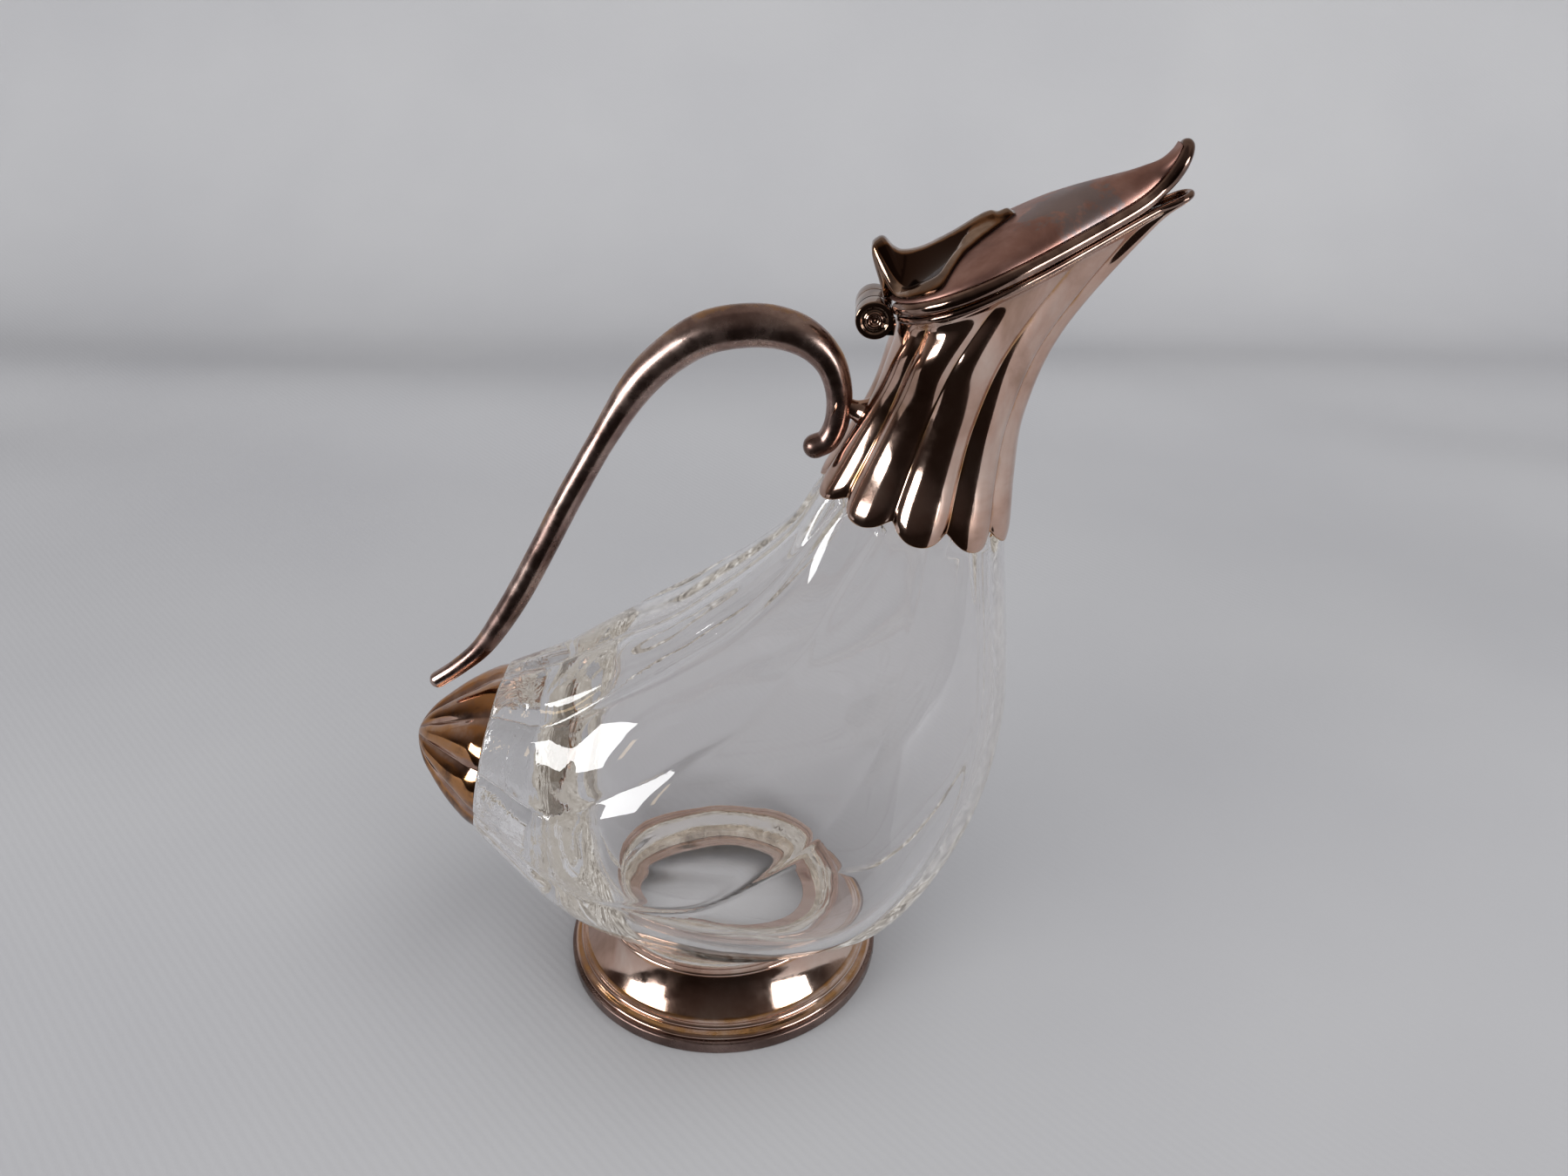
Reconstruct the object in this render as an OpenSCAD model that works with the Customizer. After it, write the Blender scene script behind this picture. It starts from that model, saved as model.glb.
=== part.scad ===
// Claret jug: a lobed glass body lying like a bird on a round foot, with silver-plated
// mounts. A beaked collar carries the hinged lid and its thumbpiece, a loop handle springs
// from the collar's back, and a fluted cap closes the tail.
// Origin: centre of the foot, on the table. +X points to the spout, +Z up, Y = 0 is the
// plane of symmetry. Everything above the foot is placed from the foot's lip.

/* [Lobes] */
// Lobes round the glass, the collar and the tail cap
lobe_count = 10; // [6:2:14]
// Depth of the creases at the collar's lower edge
collar_crease = 2.4; // [1:0.1:3]
// Depth of the creases on the belly of the glass
belly_crease = 1.4; // [0.4:0.1:2.5]
// Depth of the creases half way along the tail cap
cap_crease = 1.8; // [0.8:0.1:2.4]
// How far each lobe hangs below the creases at the collar's lower edge
scallop_drop = 3; // [1.5:0.1:4.5]

/* [Glass] */
// Half width of the body at its widest
belly_half_width = 67; // [60:0.5:70]
// Thickness of the glass
glass_wall = 3.2; // [2.5:0.1:4.5]
// Solid glass between the tail face and the hollow
tail_solid = 21; // [12:1:28]
// How far the stub reaches into the foot, below the lip
stub_drop = 10; // [6:0.5:11]

/* [Foot] */
// Radius of the foot on the table
foot_r = 50; // [46:0.5:56]
// Height of the lip that takes the glass
foot_h = 22; // [19:0.5:28]
// Radius of the lip, outside
lip_r = 38.6; // [38:0.1:40]
// Height of the plain band at the foot's base
base_band_h = 4.2; // [3:0.1:6]
// Thickness of the plated sheet
sheet = 1.1; // [0.8:0.1:1.4]
// Inside radius of the ledge that carries the stub
ledge_r = 29; // [24:0.5:32]
// Cement round the stub
foot_cement_t = 0.9; // [0.6:0.1:1.4]

/* [Tail cap] */
// Radius of the cap at its rim
cap_r = 26; // [24:0.5:27]
// Depth of the cap from its rim to its point
cap_depth = 24; // [18:0.5:30]

/* [Collar] */
// Half width at the lower edge
collar_low_r = 27; // [25:0.5:29]
// Half width at the waist
waist_r = 20.5; // [19:0.5:23]
// Width factor of the mouth
mouth_w = 18; // [16:0.5:20]
// Length of the mouth, from the hinge end to the beak
mouth_len = 75.5; // [66:0.5:80]
// Rise of the mouth towards the beak
mouth_tilt = 23; // [18:1:27]
// Cement between the glass neck and the collar
neck_cement_t = 1.4; // [0.9:0.1:2]
// Radius of the beak's blunt tip
beak_tip_r = 3; // [2:0.1:4]
// Radius of the wire on the collar's rim
spout_wire_r = 0.9; // [0.7:0.05:1.2]

/* [Lid] */
// Radius of the wire on the lid's edge
lid_wire_r = 1.7; // [1.2:0.05:2]
// How far the lid's point reaches past the beak
lid_reach = 2; // [1:0.5:6]
// How far the lid's point lifts off the beak
tip_rise = 8.2; // [3:0.2:9]
// Height of the lid's crest over its edge, at the middle
crest_h = 7.3; // [5:0.1:9]
// Gap between the two wires when the lid is shut
lid_gap = 0.3; // [0.2:0.05:0.6]
// Height of the horn over the lid's edge
horn_h = 14.2; // [11:0.2:16]
// Half thickness of the thumbpiece's ridge
ridge_half = 1.5; // [1:0.1:2]

/* [Hinge] */
// Outside radius of the knuckles
knuckle_r = 4.8; // [4.2:0.1:5.2]
// Length of the three knuckles together
barrel_len = 17.4; // [14:0.2:20]
// Radius of the hinge pin
pin_r = 2.3; // [1.6:0.1:2.6]
// Running clearance of the pin, on the radius
pin_clear = 0.05; // [0.03:0.01:0.1]
// Side clearance between two knuckles
knuckle_gap = 0.2; // [0.1:0.05:0.4]
// Radius of the dimple in each end of the pin
dimple_r = 1.3; // [0.8:0.1:1.4]

/* [Handle] */
// Thickest radius, at the top of the loop
handle_top_r = 5.6; // [4.8:0.1:6.2]
// Radius along the sloping middle
handle_mid_r = 3.7; // [3:0.1:4.4]
// Radius at the free end over the tail
handle_end_r = 2.5; // [2:0.1:3]
// Width of the lug that joins the handle to the collar
lug_w = 8; // [6:0.5:10]

/* [Hidden] */

silver = "#85746d";       // tarnished plate
silver_dark = "#5e4f4a";
glass_tint = [0.86, 0.89, 0.90, 0.45];
cement_tint = "#b9ae9c";

seat = 0.1;               // gap between two pieces that are cemented or soldered
per_lobe = 4;             // steps across one lobe
steps = lobe_count * per_lobe;
eps = 0.01;

// ---- profiles, all from the foot's lip ----

// Glass from the tail to the shoulder: back x, back z, belly x, belly z, half width, crease
glass_rows = [
    [-63.8, 79.6, -74.2, 27.2, cap_r + 0.8, 1.0],
    [-46, 86.4, -47, 2.5, belly_half_width - 26, 1.3],
    [-26.5, 96.5, -22, -1.5, belly_half_width - 10, belly_crease],
    [-11.5, 104, 15, -2, belly_half_width, belly_crease],
    [1, 113.4, 51, 4, belly_half_width - 2.5, belly_crease],
    [12, 122, 74.5, 35, belly_half_width - 10, belly_crease],
    [22, 131.5, 84.5, 76, belly_half_width - 22, 1.6]];

// The hinge axis, and the back end of the mouth just in front of the barrel
hinge = [42.9, 191.6];
mouth_back = hinge + [knuckle_r + 0.6, -0.6];
mouth_front = mouth_back + mouth_len * [cos(mouth_tilt), sin(mouth_tilt)];

// Collar from its lower edge to the mouth: back x, back z, front x, front z, half width,
// crease, taper towards the beak, blunt tip. The lip flares over the last few millimetres.
waist = [42.6, 171, 83.2, 168];
lip_below = mouth_back - [0.4, 3];
collar_rows = [
    [28.2, 145, 82.2, 132.2, collar_low_r, collar_crease, 0, 0],
    [36.5, 159, 81.8, 151, waist_r + 1.9, collar_crease - 0.2, 0, 0],
    [waist[0], waist[1], waist[2], waist[3], waist_r, collar_crease - 0.6, 0.05, 0],
    [46, lerp(waist[1], hinge[1], 0.51), 91, lerp(waist[3], mouth_front[1], 0.39),
        waist_r + 0.3, collar_crease * 0.62, 0.42, 1],
    [lip_below[0], lip_below[1], mouth_front[0] - 8, mouth_front[1] - 7.2,
        mouth_w - 0.8, 0.8, 0.85, beak_tip_r * 0.8],
    [mouth_back[0], mouth_back[1], mouth_front[0], mouth_front[1], mouth_w, 0.2, 0.9,
        beak_tip_r]];
neck_top = 0.4;           // where the glass neck ends inside the collar
neck_stops = [-0.01, 0.05, 0.11, 0.18, 0.25, 0.32, neck_top];

// Lid crest over the plane of its edge: place along the lid, share of crest_h
crest_rows = [[0, 0.05], [0.13, 0.42], [0.28, 0.72], [0.45, 0.9], [0.55, 1.0], [0.61, 1.0],
    [0.69, 0.95], [0.79, 0.82], [0.87, 0.62], [0.94, 0.28], [1, 0]];

// Ridge of the thumbpiece: place along the lid, share of horn_h over the lid's edge
ridge_rows = [[-0.7, 0.25], [-0.2, 0.72], [0.7, 0.93], [2.2, 1.0], [4.2, 0.98], [5.6, 0.76],
    [7.6, 0.63], [12.5, 0.565], [20, 0.61], [27, 0.7], [30.2, 0.705], [31.8, 0.64],
    [34.2, 0.63], [35.6, 0.48]];

// Centre line of the handle: x, z, radius, from the scroll to the free end
handle_rows = [
    [28.4, 154.6, 3.3], [31.8, 156.6, 3.2], [34.2, 162.5, 3.3], [34.3, 171, 3.6],
    [31.3, 179, 4.2], [24.4, 185, handle_top_r - 0.5], [14, 187.4, handle_top_r],
    [1, 185.6, handle_top_r], [-9.5, 179.5, handle_top_r - 0.5],
    [-18.8, 170.4, handle_mid_r + 0.9], [-28.5, 156, handle_mid_r],
    [-39, 138.5, handle_mid_r], [-47, 124, handle_mid_r], [-55, 109.8, handle_mid_r],
    [-62.5, 98, handle_mid_r - 0.2], [-69.5, 88.6, handle_end_r + 0.5],
    [-77, 81.9, handle_end_r + 0.1], [-84.2, 76.8, handle_end_r]];

// ---- functions ----

function lerp(a, b, t) = a + (b - a) * t;
function unit(v) = v / norm(v);
function turn90(v) = [-v[1], v[0]];

// Smooth curve through rows of numbers, t from 0 at the first row to 1 at the last
function spline(p, q, r, s, f) = 0.5 * (2 * q + (r - p) * f + (2 * p - 5 * q + 4 * r - s)
    * f * f + (3 * q - p - 3 * r + s) * f * f * f);
function along(rows, t) = let (n = len(rows) - 1, k = max(0, min(n - 1, floor(t * n))))
    spline(k > 0 ? rows[k - 1] : 2 * rows[0] - rows[1], rows[k], rows[k + 1],
        k + 2 > n ? 2 * rows[n] - rows[n - 1] : rows[k + 2], t * n - k);

// Smooth value at x from rows of [x, value]
function at(rows, x) = let (n = len(rows) - 1,
    k = max([for (i = [0 : n - 1]) (x >= rows[i][0] || i == 0) ? i : 0]),
    f = (x - rows[k][0]) / (rows[k + 1][0] - rows[k][0]))
    spline(k > 0 ? rows[k - 1][1] : rows[k][1], rows[k][1], rows[k + 1][1],
        k + 2 > n ? rows[n][1] : rows[k + 2][1], max(0, min(1, f)));

// 0 in a crease and 1 on the middle of a lobe; a crease lies on the plane of symmetry
function swell(a) = abs(sin(lobe_count * a / 2));

// Half width of a section that tapers to a blunt tip at its front
function beak(a, half, w, taper, tip) = let (u = half * (1 + cos(a)),
    blunt = tip <= 0 ? 0 : u < tip ? sqrt(max(0, u * (2 * tip - u)))
        : u < 4 * tip ? tip * pow(cos(30 * (u - tip) / tip), 2) : 0)
    sign(sin(a)) * norm([w * sin(a) * (1 + taper * cos(a)), blunt]);

// Point i of a section in its own plane. A row holds the back point, the front point, the
// half width, the crease, and where it needs them the taper and the blunt tip.
function flat_point(row, i) = let (a = 360 * i / steps, w = row[4],
    half = norm([row[2] - row[0], row[3] - row[1]]) / 2, s = 1 - row[5] / w * (1 - swell(a)))
    [-half * cos(a) * s, -s * beak(a, half, w, len(row) > 6 ? row[6] : 0,
        len(row) > 7 ? row[7] : 0)];

// The same point in space. A section starts at its back and runs by the right side (-Y);
// inset moves it inwards, square to itself, and shrink draws it to its middle.
function outline_point(row, i, inset, shrink = 1) = let (b = [row[0], row[1]],
    f = [row[2], row[3]], mid = (b + f) / 2, dir = unit(f - b),
    t = flat_point(row, i + 1) - flat_point(row, i - 1),
    p = (flat_point(row, i) + unit(turn90(t)) * inset) * shrink)
    [mid[0] + dir[0] * p[0], p[1], mid[1] + dir[1] * p[0]];
function outline(row, inset = 0, shrink = 1) =
    [for (i = [0 : steps - 1]) outline_point(row, i, inset, shrink)];

// Solid skinned over rings of equal length, with fans over both ends, or closed into a loop
module skin(rings, loop = false) {
    m = len(rings[0]);
    n = len(rings);
    last = loop ? n : n - 1;
    middle = function (ring) [for (k = [0 : 2]) sum(ring, k) / m];
    sides = [for (i = [0 : last - 1], j = [0 : m - 1])
        let (a = i * m + j, b = i * m + (j + 1) % m, d = ((i + 1) % n) * m + j,
            c = ((i + 1) % n) * m + (j + 1) % m)
        each [[a, d, c], [a, c, b]]];
    ends = loop ? [] : [for (j = [0 : m - 1]) let (k = (j + 1) % m)
        each [[n * m, j, k], [n * m + 1, (n - 1) * m + k, (n - 1) * m + j]]];
    tips = loop ? [] : [middle(rings[0]), middle(rings[n - 1])];
    polyhedron(concat([for (r = rings) each r], tips), concat(sides, ends), convexity = 8);
}
function sum(list, k, i = 0) = i < len(list) ? list[i][k] + sum(list, k, i + 1) : 0;

// Solid between two grids of points that match, the upper one and the lower one
module slab(top, low) {
    n = len(top);
    m = len(top[0]);
    size = n * m;
    id = function (i, j) i * m + j;
    faces = [for (i = [0 : n - 2], j = [0 : m - 2])
        let (a = id(i, j), b = id(i + 1, j), c = id(i + 1, j + 1), d = id(i, j + 1))
        each [[a, d, c], [a, c, b], [size + a, size + c, size + d],
            [size + a, size + b, size + c]]];
    rim = concat([for (i = [0 : n - 2]) [id(i, 0), id(i + 1, 0)]],
        [for (j = [0 : m - 2]) [id(n - 1, j), id(n - 1, j + 1)]],
        [for (i = [n - 1 : -1 : 1]) [id(i, m - 1), id(i - 1, m - 1)]],
        [for (j = [m - 1 : -1 : 1]) [id(0, j), id(0, j - 1)]]);
    walls = [for (e = rim) each [[e[0], e[1], size + e[1]], [e[0], size + e[1], size + e[0]]]];
    polyhedron(concat([for (r = top) each r], [for (r = low) each r]), concat(faces, walls),
        convexity = 8);
}

// Round bar along a path of points with its own radius at each, and rounded ends
function cap_rows(p, q, r, s) = [for (a = s > 0 ? [80, 55, 28] : [28, 55, 80])
    [p + unit(p - q) * r * sin(a), r * cos(a)]];
module bar(path, radii, sides, up) {
    n = len(path);
    rows = concat(cap_rows(path[0], path[1], radii[0], 1),
        [for (i = [0 : n - 1]) [path[i], radii[i]]],
        cap_rows(path[n - 1], path[n - 2], radii[n - 1], -1));
    k = len(rows) - 1;
    skin([for (i = [0 : k]) let (t = unit(rows[min(k, i + 1)][0] - rows[max(0, i - 1)][0]),
        e = unit(up - (up * t) * t), f = cross(t, e))
        [for (j = [0 : sides - 1]) rows[i][0] + rows[i][1]
            * (cos(360 * j / sides) * e + sin(360 * j / sides) * f)]]);
}

module above_foot() {
    translate([0, 0, foot_h]) children();
}

// Frame of the mouth: x along it from the hinge end to the beak, z square to it
module on_mouth() {
    above_foot() translate([mouth_back[0], 0, mouth_back[1]]) rotate([0, -mouth_tilt, 0])
        children();
}

// ---- glass ----

// The glass fills the collar's lower edge and leaves room for cement above it
neck_inset = sheet + neck_cement_t;
function neck_inset_at(t) = t > 0.1 ? neck_inset : sheet + 0.4 + max(0, t) * 8;
function collar_row_at(t, grow) = let (r = along(collar_rows, t), b = [r[0], r[1]],
    f = [r[2], r[3]], d = unit(f - b) * grow)
    [r[0] - d[0], r[1] - d[1], r[2] + d[0], r[3] + d[1], r[4] + grow, r[5]];
body_rows = concat(glass_rows, [for (t = [-0.01, 0.18]) collar_row_at(t, -neck_inset_at(t))]);
body_end = len(glass_rows) / (len(body_rows) - 1);
tail_back = [glass_rows[0][0], glass_rows[0][1]];
tail_belly = [glass_rows[0][2], glass_rows[0][3]];
tail_face = (tail_back + tail_belly) / 2;
tail_up = unit(tail_back - tail_belly);
tail_axis = turn90(tail_up);
glass_n = 22;

module glass_outside() {
    skin(concat([outline(glass_rows[0], 1.2)],
        [for (i = [0 : glass_n - 1]) outline(along(body_rows,
            lerp(0.008, body_end, i / glass_n)))],
        [for (t = neck_stops) outline(along(collar_rows, t), neck_inset_at(t))]));
}

// The hollow ends in a round nose behind the solid tail
hollow_from = tail_solid / 200;
hollow_stops = [0, 0.012, 0.04, 0.08, 0.13, 0.19, 0.25, 0.34, 0.44, 0.55, 0.66, 0.77, 0.88,
    0.96];
function nose(f) = f < 0.25 ? sqrt(1 - pow(1 - (f + 0.005) / 0.255, 2)) : 1;
module glass_hollow() {
    thin = function (row) [row[0], row[1], row[2], row[3], row[4], row[5] * 0.6];
    skin(concat([for (f = hollow_stops) outline(thin(along(body_rows,
            lerp(hollow_from, body_end, f))), glass_wall, nose(f))],
        [for (t = concat([for (t = neck_stops) if (t > 0) t], [neck_top + 0.05]))
            outline(thin(along(collar_rows, t)), neck_inset_at(t) + glass_wall * 0.8)]));
}

stub_r = lip_r - 2 * sheet - seat - foot_cement_t;
module stub() {
    above_foot() translate([0, 0, -stub_drop]) rotate_extrude($fn = 72)
        polygon([[0, 0], [stub_r - 1, 0], [stub_r, 1], [stub_r, stub_drop + 0.5],
            [stub_r + 1.5, stub_drop + 3.5], [stub_r + 5, stub_drop + 8], [0, stub_drop + 8]]);
}

module glass_body() {
    color(glass_tint) difference() {
        union() {
            above_foot() glass_outside();
            stub();
        }
        above_foot() glass_hollow();
    }
}

// ---- collar ----

collar_n = 14;
scallop_share = scallop_drop / (collar_rows[1][1] - collar_rows[0][1]) / (len(collar_rows) - 1);
function collar_start(i) = scallop_share * (1 - pow(swell(360 * i / steps), 0.7));
function collar_ring(f, inset) = [for (i = [0 : steps - 1])
    outline_point(along(collar_rows, lerp(collar_start(i), 1, f)), i, inset)];

module spout_collar() {
    color(silver) above_foot() skin(concat(
        [for (i = [0 : collar_n]) collar_ring(i / collar_n, 0)],
        [for (i = [collar_n : -2 : 0]) collar_ring(i / collar_n, sheet)]), loop = true);
}

// Edge of the mouth in its own frame, longer at the beak for the lid
function mouth_at(a, reach) = let (half = (mouth_len + reach) / 2)
    [half * (1 - cos(a)), -beak(a, half, mouth_w, 0.9, beak_tip_r)];
// The wires stop short of the hinge barrel, rounded ends included
wire_end_gap = 0.4;
wire_n = 34;
function wire_angles(r) = let (from = asin((barrel_len / 2 + r + wire_end_gap) / (1.9 * mouth_w)))
    [for (i = [0 : wire_n]) lerp(from, 360 - from, i / wire_n)];

module spout_rim_wire() {
    color(silver) on_mouth() bar([for (a = wire_angles(spout_wire_r))
        let (p = mouth_at(a, 0)) [p[0], p[1], spout_wire_r + seat]],
        [for (i = [0 : wire_n]) spout_wire_r], 8, [0, 0, 1]);
}

module neck_cement() {
    stops = [for (t = neck_stops) if (t > 0.1) t];
    color(cement_tint) above_foot() skin(concat(
        [for (t = stops) outline(along(collar_rows, t), sheet + 2 * seat)],
        [for (i = [len(stops) - 1 : -1 : 0]) outline(along(collar_rows, stops[i]),
            neck_inset - seat)]), loop = true);
}

// ---- lid, in the frame of the mouth ----

lid_len = mouth_len + lid_reach;
wire_mid_z = seat + 2 * spout_wire_r + lid_gap + lid_wire_r;
lift_from = 0.7 * lid_len;
lift_len = lid_len - lift_from;
function tip_lift(u) = tip_rise * pow(max(0, (u - lift_from) / lift_len), 3.6);
function tip_slope(u) = 3.6 / lift_len * tip_rise * pow(max(0, (u - lift_from) / lift_len), 2.6);
// Top of the lid's wire, which is taller where it slopes
function edge_z(u) = wire_mid_z + tip_lift(u) + lid_wire_r * norm([1, tip_slope(u)]) + seat;
function crest(u) = crest_h * at(crest_rows, u / lid_len);
function half_at(u) = beak(acos(1 - 2 * min(1, max(0, u / lid_len))), lid_len / 2, mouth_w, 0.9,
    beak_tip_r);
function lid_z(u, y) = edge_z(u)
    + crest(u) * sqrt(max(0, 1 - pow(min(1, abs(y) / half_at(u)), 2)));

module lid_rim_wire() {
    color(silver) on_mouth() bar([for (a = wire_angles(lid_wire_r))
        let (p = mouth_at(a, lid_reach)) [p[0], p[1], wire_mid_z + tip_lift(p[0])]],
        [for (i = [0 : wire_n]) lid_wire_r], 8, [0, 0, 1]);
}

lid_n = 22;
lid_m = 14;
// The shell stops short of the wire's point
lid_from = 10;
lid_to = 165;
lid_stops = [for (i = [0 : lid_n]) lid_len / 2 * (1 - cos(lerp(lid_from, lid_to, i / lid_n)))];
function lid_grid(inset, drop) = [for (u = lid_stops) [for (j = [0 : lid_m])
    let (a = 180 * j / lid_m, w = half_at(u))
    [u, -(w - inset * min(1, w / 6)) * cos(a),
        edge_z(u) - drop + max(0.1, crest(u) - inset) * sin(a)]]];
module lid_shell() {
    color(silver) on_mouth() slab(lid_grid(0, 0), lid_grid(sheet, eps));
}

// Half width of the thumbpiece's leaf, and of its steep flank, along the lid
leaf_rows = [[-2, 6], [2, 12], [5, 22], [8, 28], [12, 28], [15, 26], [17, 19], [19, 12],
    [21, 9.5], [24, 7.6], [28, 5.6], [32, 3.4], [36, 1.4]];
flank_rows = [[-2, 5], [2, 8], [8, 10], [14, 8.5], [20, 6], [28, 3.8], [36, 1]];
thumb_stops = [-0.6, 0, 0.9, 2.2, 3.8, 5.2, 7, 9.5, 12, 14.2, 15.6, 17, 18.4, 20, 22, 25, 28,
    30, 31.8, 33.6, 35.4];
thumb_m = 6;
leaf_seat = 0.36;
module thumbpiece() {
    side = function (u, j) let (f = j / thumb_m, w = min(at(leaf_rows, u), max(4, half_at(u) - 0.4)))
        sign(f) * (abs(f) < 0.2 ? abs(f) / 0.2 * ridge_half
            : ridge_half + (w - ridge_half) * (abs(f) - 0.2) / 0.8);
    base = function (u, y) lid_z(max(u, 1), y) + leaf_seat;
    rise = function (u, y) let (top = edge_z(0) + horn_h * at(ridge_rows, u) - base(u, 0),
        g = max(0, 1 - max(0, abs(y) - ridge_half) / at(flank_rows, u)))
        0.9 + (top - 0.9) * (abs(y) > ridge_half + eps ? pow(g, 2.2) * 0.96 : 1 - 0.06
            * abs(y) / ridge_half);
    low = [for (u = thumb_stops) [for (j = [-thumb_m : thumb_m]) let (y = side(u, j))
        [u, y, base(u, y)]]];
    top = [for (u = thumb_stops) [for (j = [-thumb_m : thumb_m]) let (y = side(u, j))
        [u, y, base(u, y) + rise(u, y)]]];
    color(silver_dark) on_mouth() slab(top, low);
}

// ---- hinge ----

module at_hinge() {
    above_foot() translate([hinge[0], 0, hinge[1]]) rotate([90, 0, 0]) children();
}
centre_len = barrel_len / 3;
outer_len = (barrel_len - centre_len) / 2 - knuckle_gap;
// The leaf under an outer knuckle ends just short of the collar's lip
leaf_gap = [seat, 0];

module outer_knuckle(from) {
    at_hinge() translate([0, 0, from]) difference() {
        union() {
            cylinder(r = knuckle_r, h = outer_len, $fn = 48);
            linear_extrude(outer_len) polygon([[2, lip_below[1] - hinge[1]],
                lip_below - hinge - leaf_gap, mouth_back - hinge - leaf_gap,
                [knuckle_r - 0.4, 0], [3, 1]]);
        }
        translate([0, 0, -1]) cylinder(r = pin_r + pin_clear, h = outer_len + 2, $fn = 48);
    }
}

module hinge_knuckle_right() {
    color(silver_dark) outer_knuckle(centre_len / 2 + knuckle_gap);
}

module hinge_knuckle_left() {
    color(silver_dark) outer_knuckle(-barrel_len / 2);
}

module hinge_pin() {
    color(silver) at_hinge() difference() {
        translate([0, 0, -barrel_len / 2]) cylinder(r = pin_r, h = barrel_len, $fn = 48);
        for (s = [-1, 1]) translate([0, 0, s * barrel_len / 2 - 0.8])
            cylinder(r = dimple_r, h = 1.6, $fn = 32);
    }
}

// The lid's knuckle has a tongue that runs forward under the lid
tongue_t = 1.3;
tongue_len = 9;
module lid_knuckle() {
    under = function (u) edge_z(u) + max(0.1, crest(u) - sheet)
        * sqrt(1 - pow(centre_len / 2 / max(5, half_at(u) - sheet), 2)) - 2 * seat;
    stops = [for (u = [1 : 2 : tongue_len]) u];
    color(silver_dark) difference() {
        union() {
            at_hinge() translate([0, 0, -centre_len / 2])
                cylinder(r = knuckle_r, h = centre_len, $fn = 48);
            on_mouth() translate([0, centre_len / 2, 0]) rotate([90, 0, 0])
                linear_extrude(centre_len) polygon(concat([[-3, edge_z(0) - tongue_t - 0.4]],
                    [for (u = stops) [u, under(u) - tongue_t]],
                    [for (i = [len(stops) - 1 : -1 : 0]) [stops[i], under(stops[i])]],
                    [[-3, edge_z(0) - 0.3]]));
        }
        at_hinge() translate([0, 0, -barrel_len])
            cylinder(r = pin_r + pin_clear, h = 2 * barrel_len, $fn = 48);
    }
}

// ---- handle ----

handle_n = 40;
module handle_bar(grow, last = handle_n) {
    rows = [for (i = [0 : last]) along(handle_rows, i / handle_n)];
    bar([for (r = rows) [r[0], 0, r[1]]], [for (r = rows) r[2] + grow], 10, [0, 1, 0]);
}
module handle() {
    color(silver) above_foot() handle_bar(0);
}

// The lug fills the gap between the handle and the collar's back, with a hollow curve
// above and below
lug_at = [38, 163.5];
lug_h = 13;
module handle_lug() {
    lean = 20;
    color(silver) above_foot() difference() {
        translate([lug_at[0], lug_w / 2, lug_at[1]]) rotate([90, lean, 0])
            linear_extrude(lug_w) difference() {
                translate([-4, -lug_h / 2]) square([11, lug_h]);
                translate([0.4, lug_h / 2 + 1]) circle(r = 2.6, $fn = 32);
                translate([0, -lug_h / 2 - 1]) circle(r = 2.6, $fn = 32);
            }
        handle_bar(seat, 14);
        skin([for (i = [2 : 9]) outline(along(collar_rows, i / collar_n), -seat)]);
    }
}

// ---- tail ----

// Cap profile: depth as a share of cap_depth, radius as a share of cap_r, crease share
cap_profile = [[0, 1, 0.35], [0.15, 0.94, 0.6], [0.32, 0.83, 0.9], [0.5, 0.69, 1],
    [0.68, 0.52, 0.9], [0.84, 0.35, 0.6], [0.95, 0.17, 0.3], [1, 0.03, 0.1]];
module dome(depth, r, start) {
    rings = [for (p = cap_profile) let (c = tail_face + tail_axis * (start + p[0] * depth))
        [for (i = [0 : steps - 1]) let (a = -360 * i / steps,
            q = r * p[1] - cap_crease * p[2] * (1 - swell(a)) * (r * p[1] > 3 ? 1 : 0.2),
            m = c + tail_up * q * cos(a)) [m[0], -q * sin(a), m[1]]]];
    above_foot() skin(rings);
}

module tail_cap() {
    color(silver) difference() {
        dome(cap_depth, cap_r, seat);
        dome(cap_depth - sheet, cap_r - sheet, -0.2);
    }
}

module tail_cement() {
    color(cement_tint) dome(cap_depth - sheet - 8 * seat, cap_r - sheet - 3 * seat, seat);
}

// ---- foot ----

bead_r = 1.1;
bead_ring_r = foot_r - 4.2;
bead_z = base_band_h + 2.8;
ledge_z = foot_h - stub_drop - 2 * seat - sheet - 1.2;

module foot_base_ring() {
    color(silver_dark) rotate_extrude($fn = 96) polygon([[foot_r - 4, 0], [foot_r - 0.8, 0],
        [foot_r, 0.8], [foot_r, base_band_h - 0.8], [foot_r - 0.8, base_band_h],
        [foot_r - 4, base_band_h]]);
}

// Spun dome: a step over the base band, a bead, then a hollow wall up to a rolled lip
roll_r = 0.9;
function dome_out(q) = [lerp(lip_r, bead_ring_r, 0.6 * q + 0.4 * q * q),
    lerp(foot_h - 2 * roll_r, bead_z, q)];
module foot_dome() {
    outer = concat([[foot_r - 1.2, base_band_h + seat], [foot_r - 1.2, base_band_h + 1],
        [foot_r - 2, base_band_h + 1.7], [bead_ring_r + bead_r + 0.2, base_band_h + 1.9]],
        [for (a = [-40 : 20 : 100]) [bead_ring_r + bead_r * cos(a), bead_z + bead_r * sin(a)]],
        [for (q = [0.88 : -0.11 : 0]) dome_out(q)]);
    roll = [for (a = [-75 : 15 : 90]) [lip_r - 0.1 + roll_r * cos(a),
        foot_h - roll_r + roll_r * sin(a)]];
    inner = [for (i = [len(outer) - 1 : -1 : 0]) [min(outer[i][0] - sheet, foot_r - 4.4),
        max(outer[i][1] - (i < 4 ? 0 : 0.2), base_band_h + seat)]];
    color(silver) rotate_extrude($fn = 96) polygon(concat(outer, roll,
        [[lip_r - sheet, foot_h]], inner));
}

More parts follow.
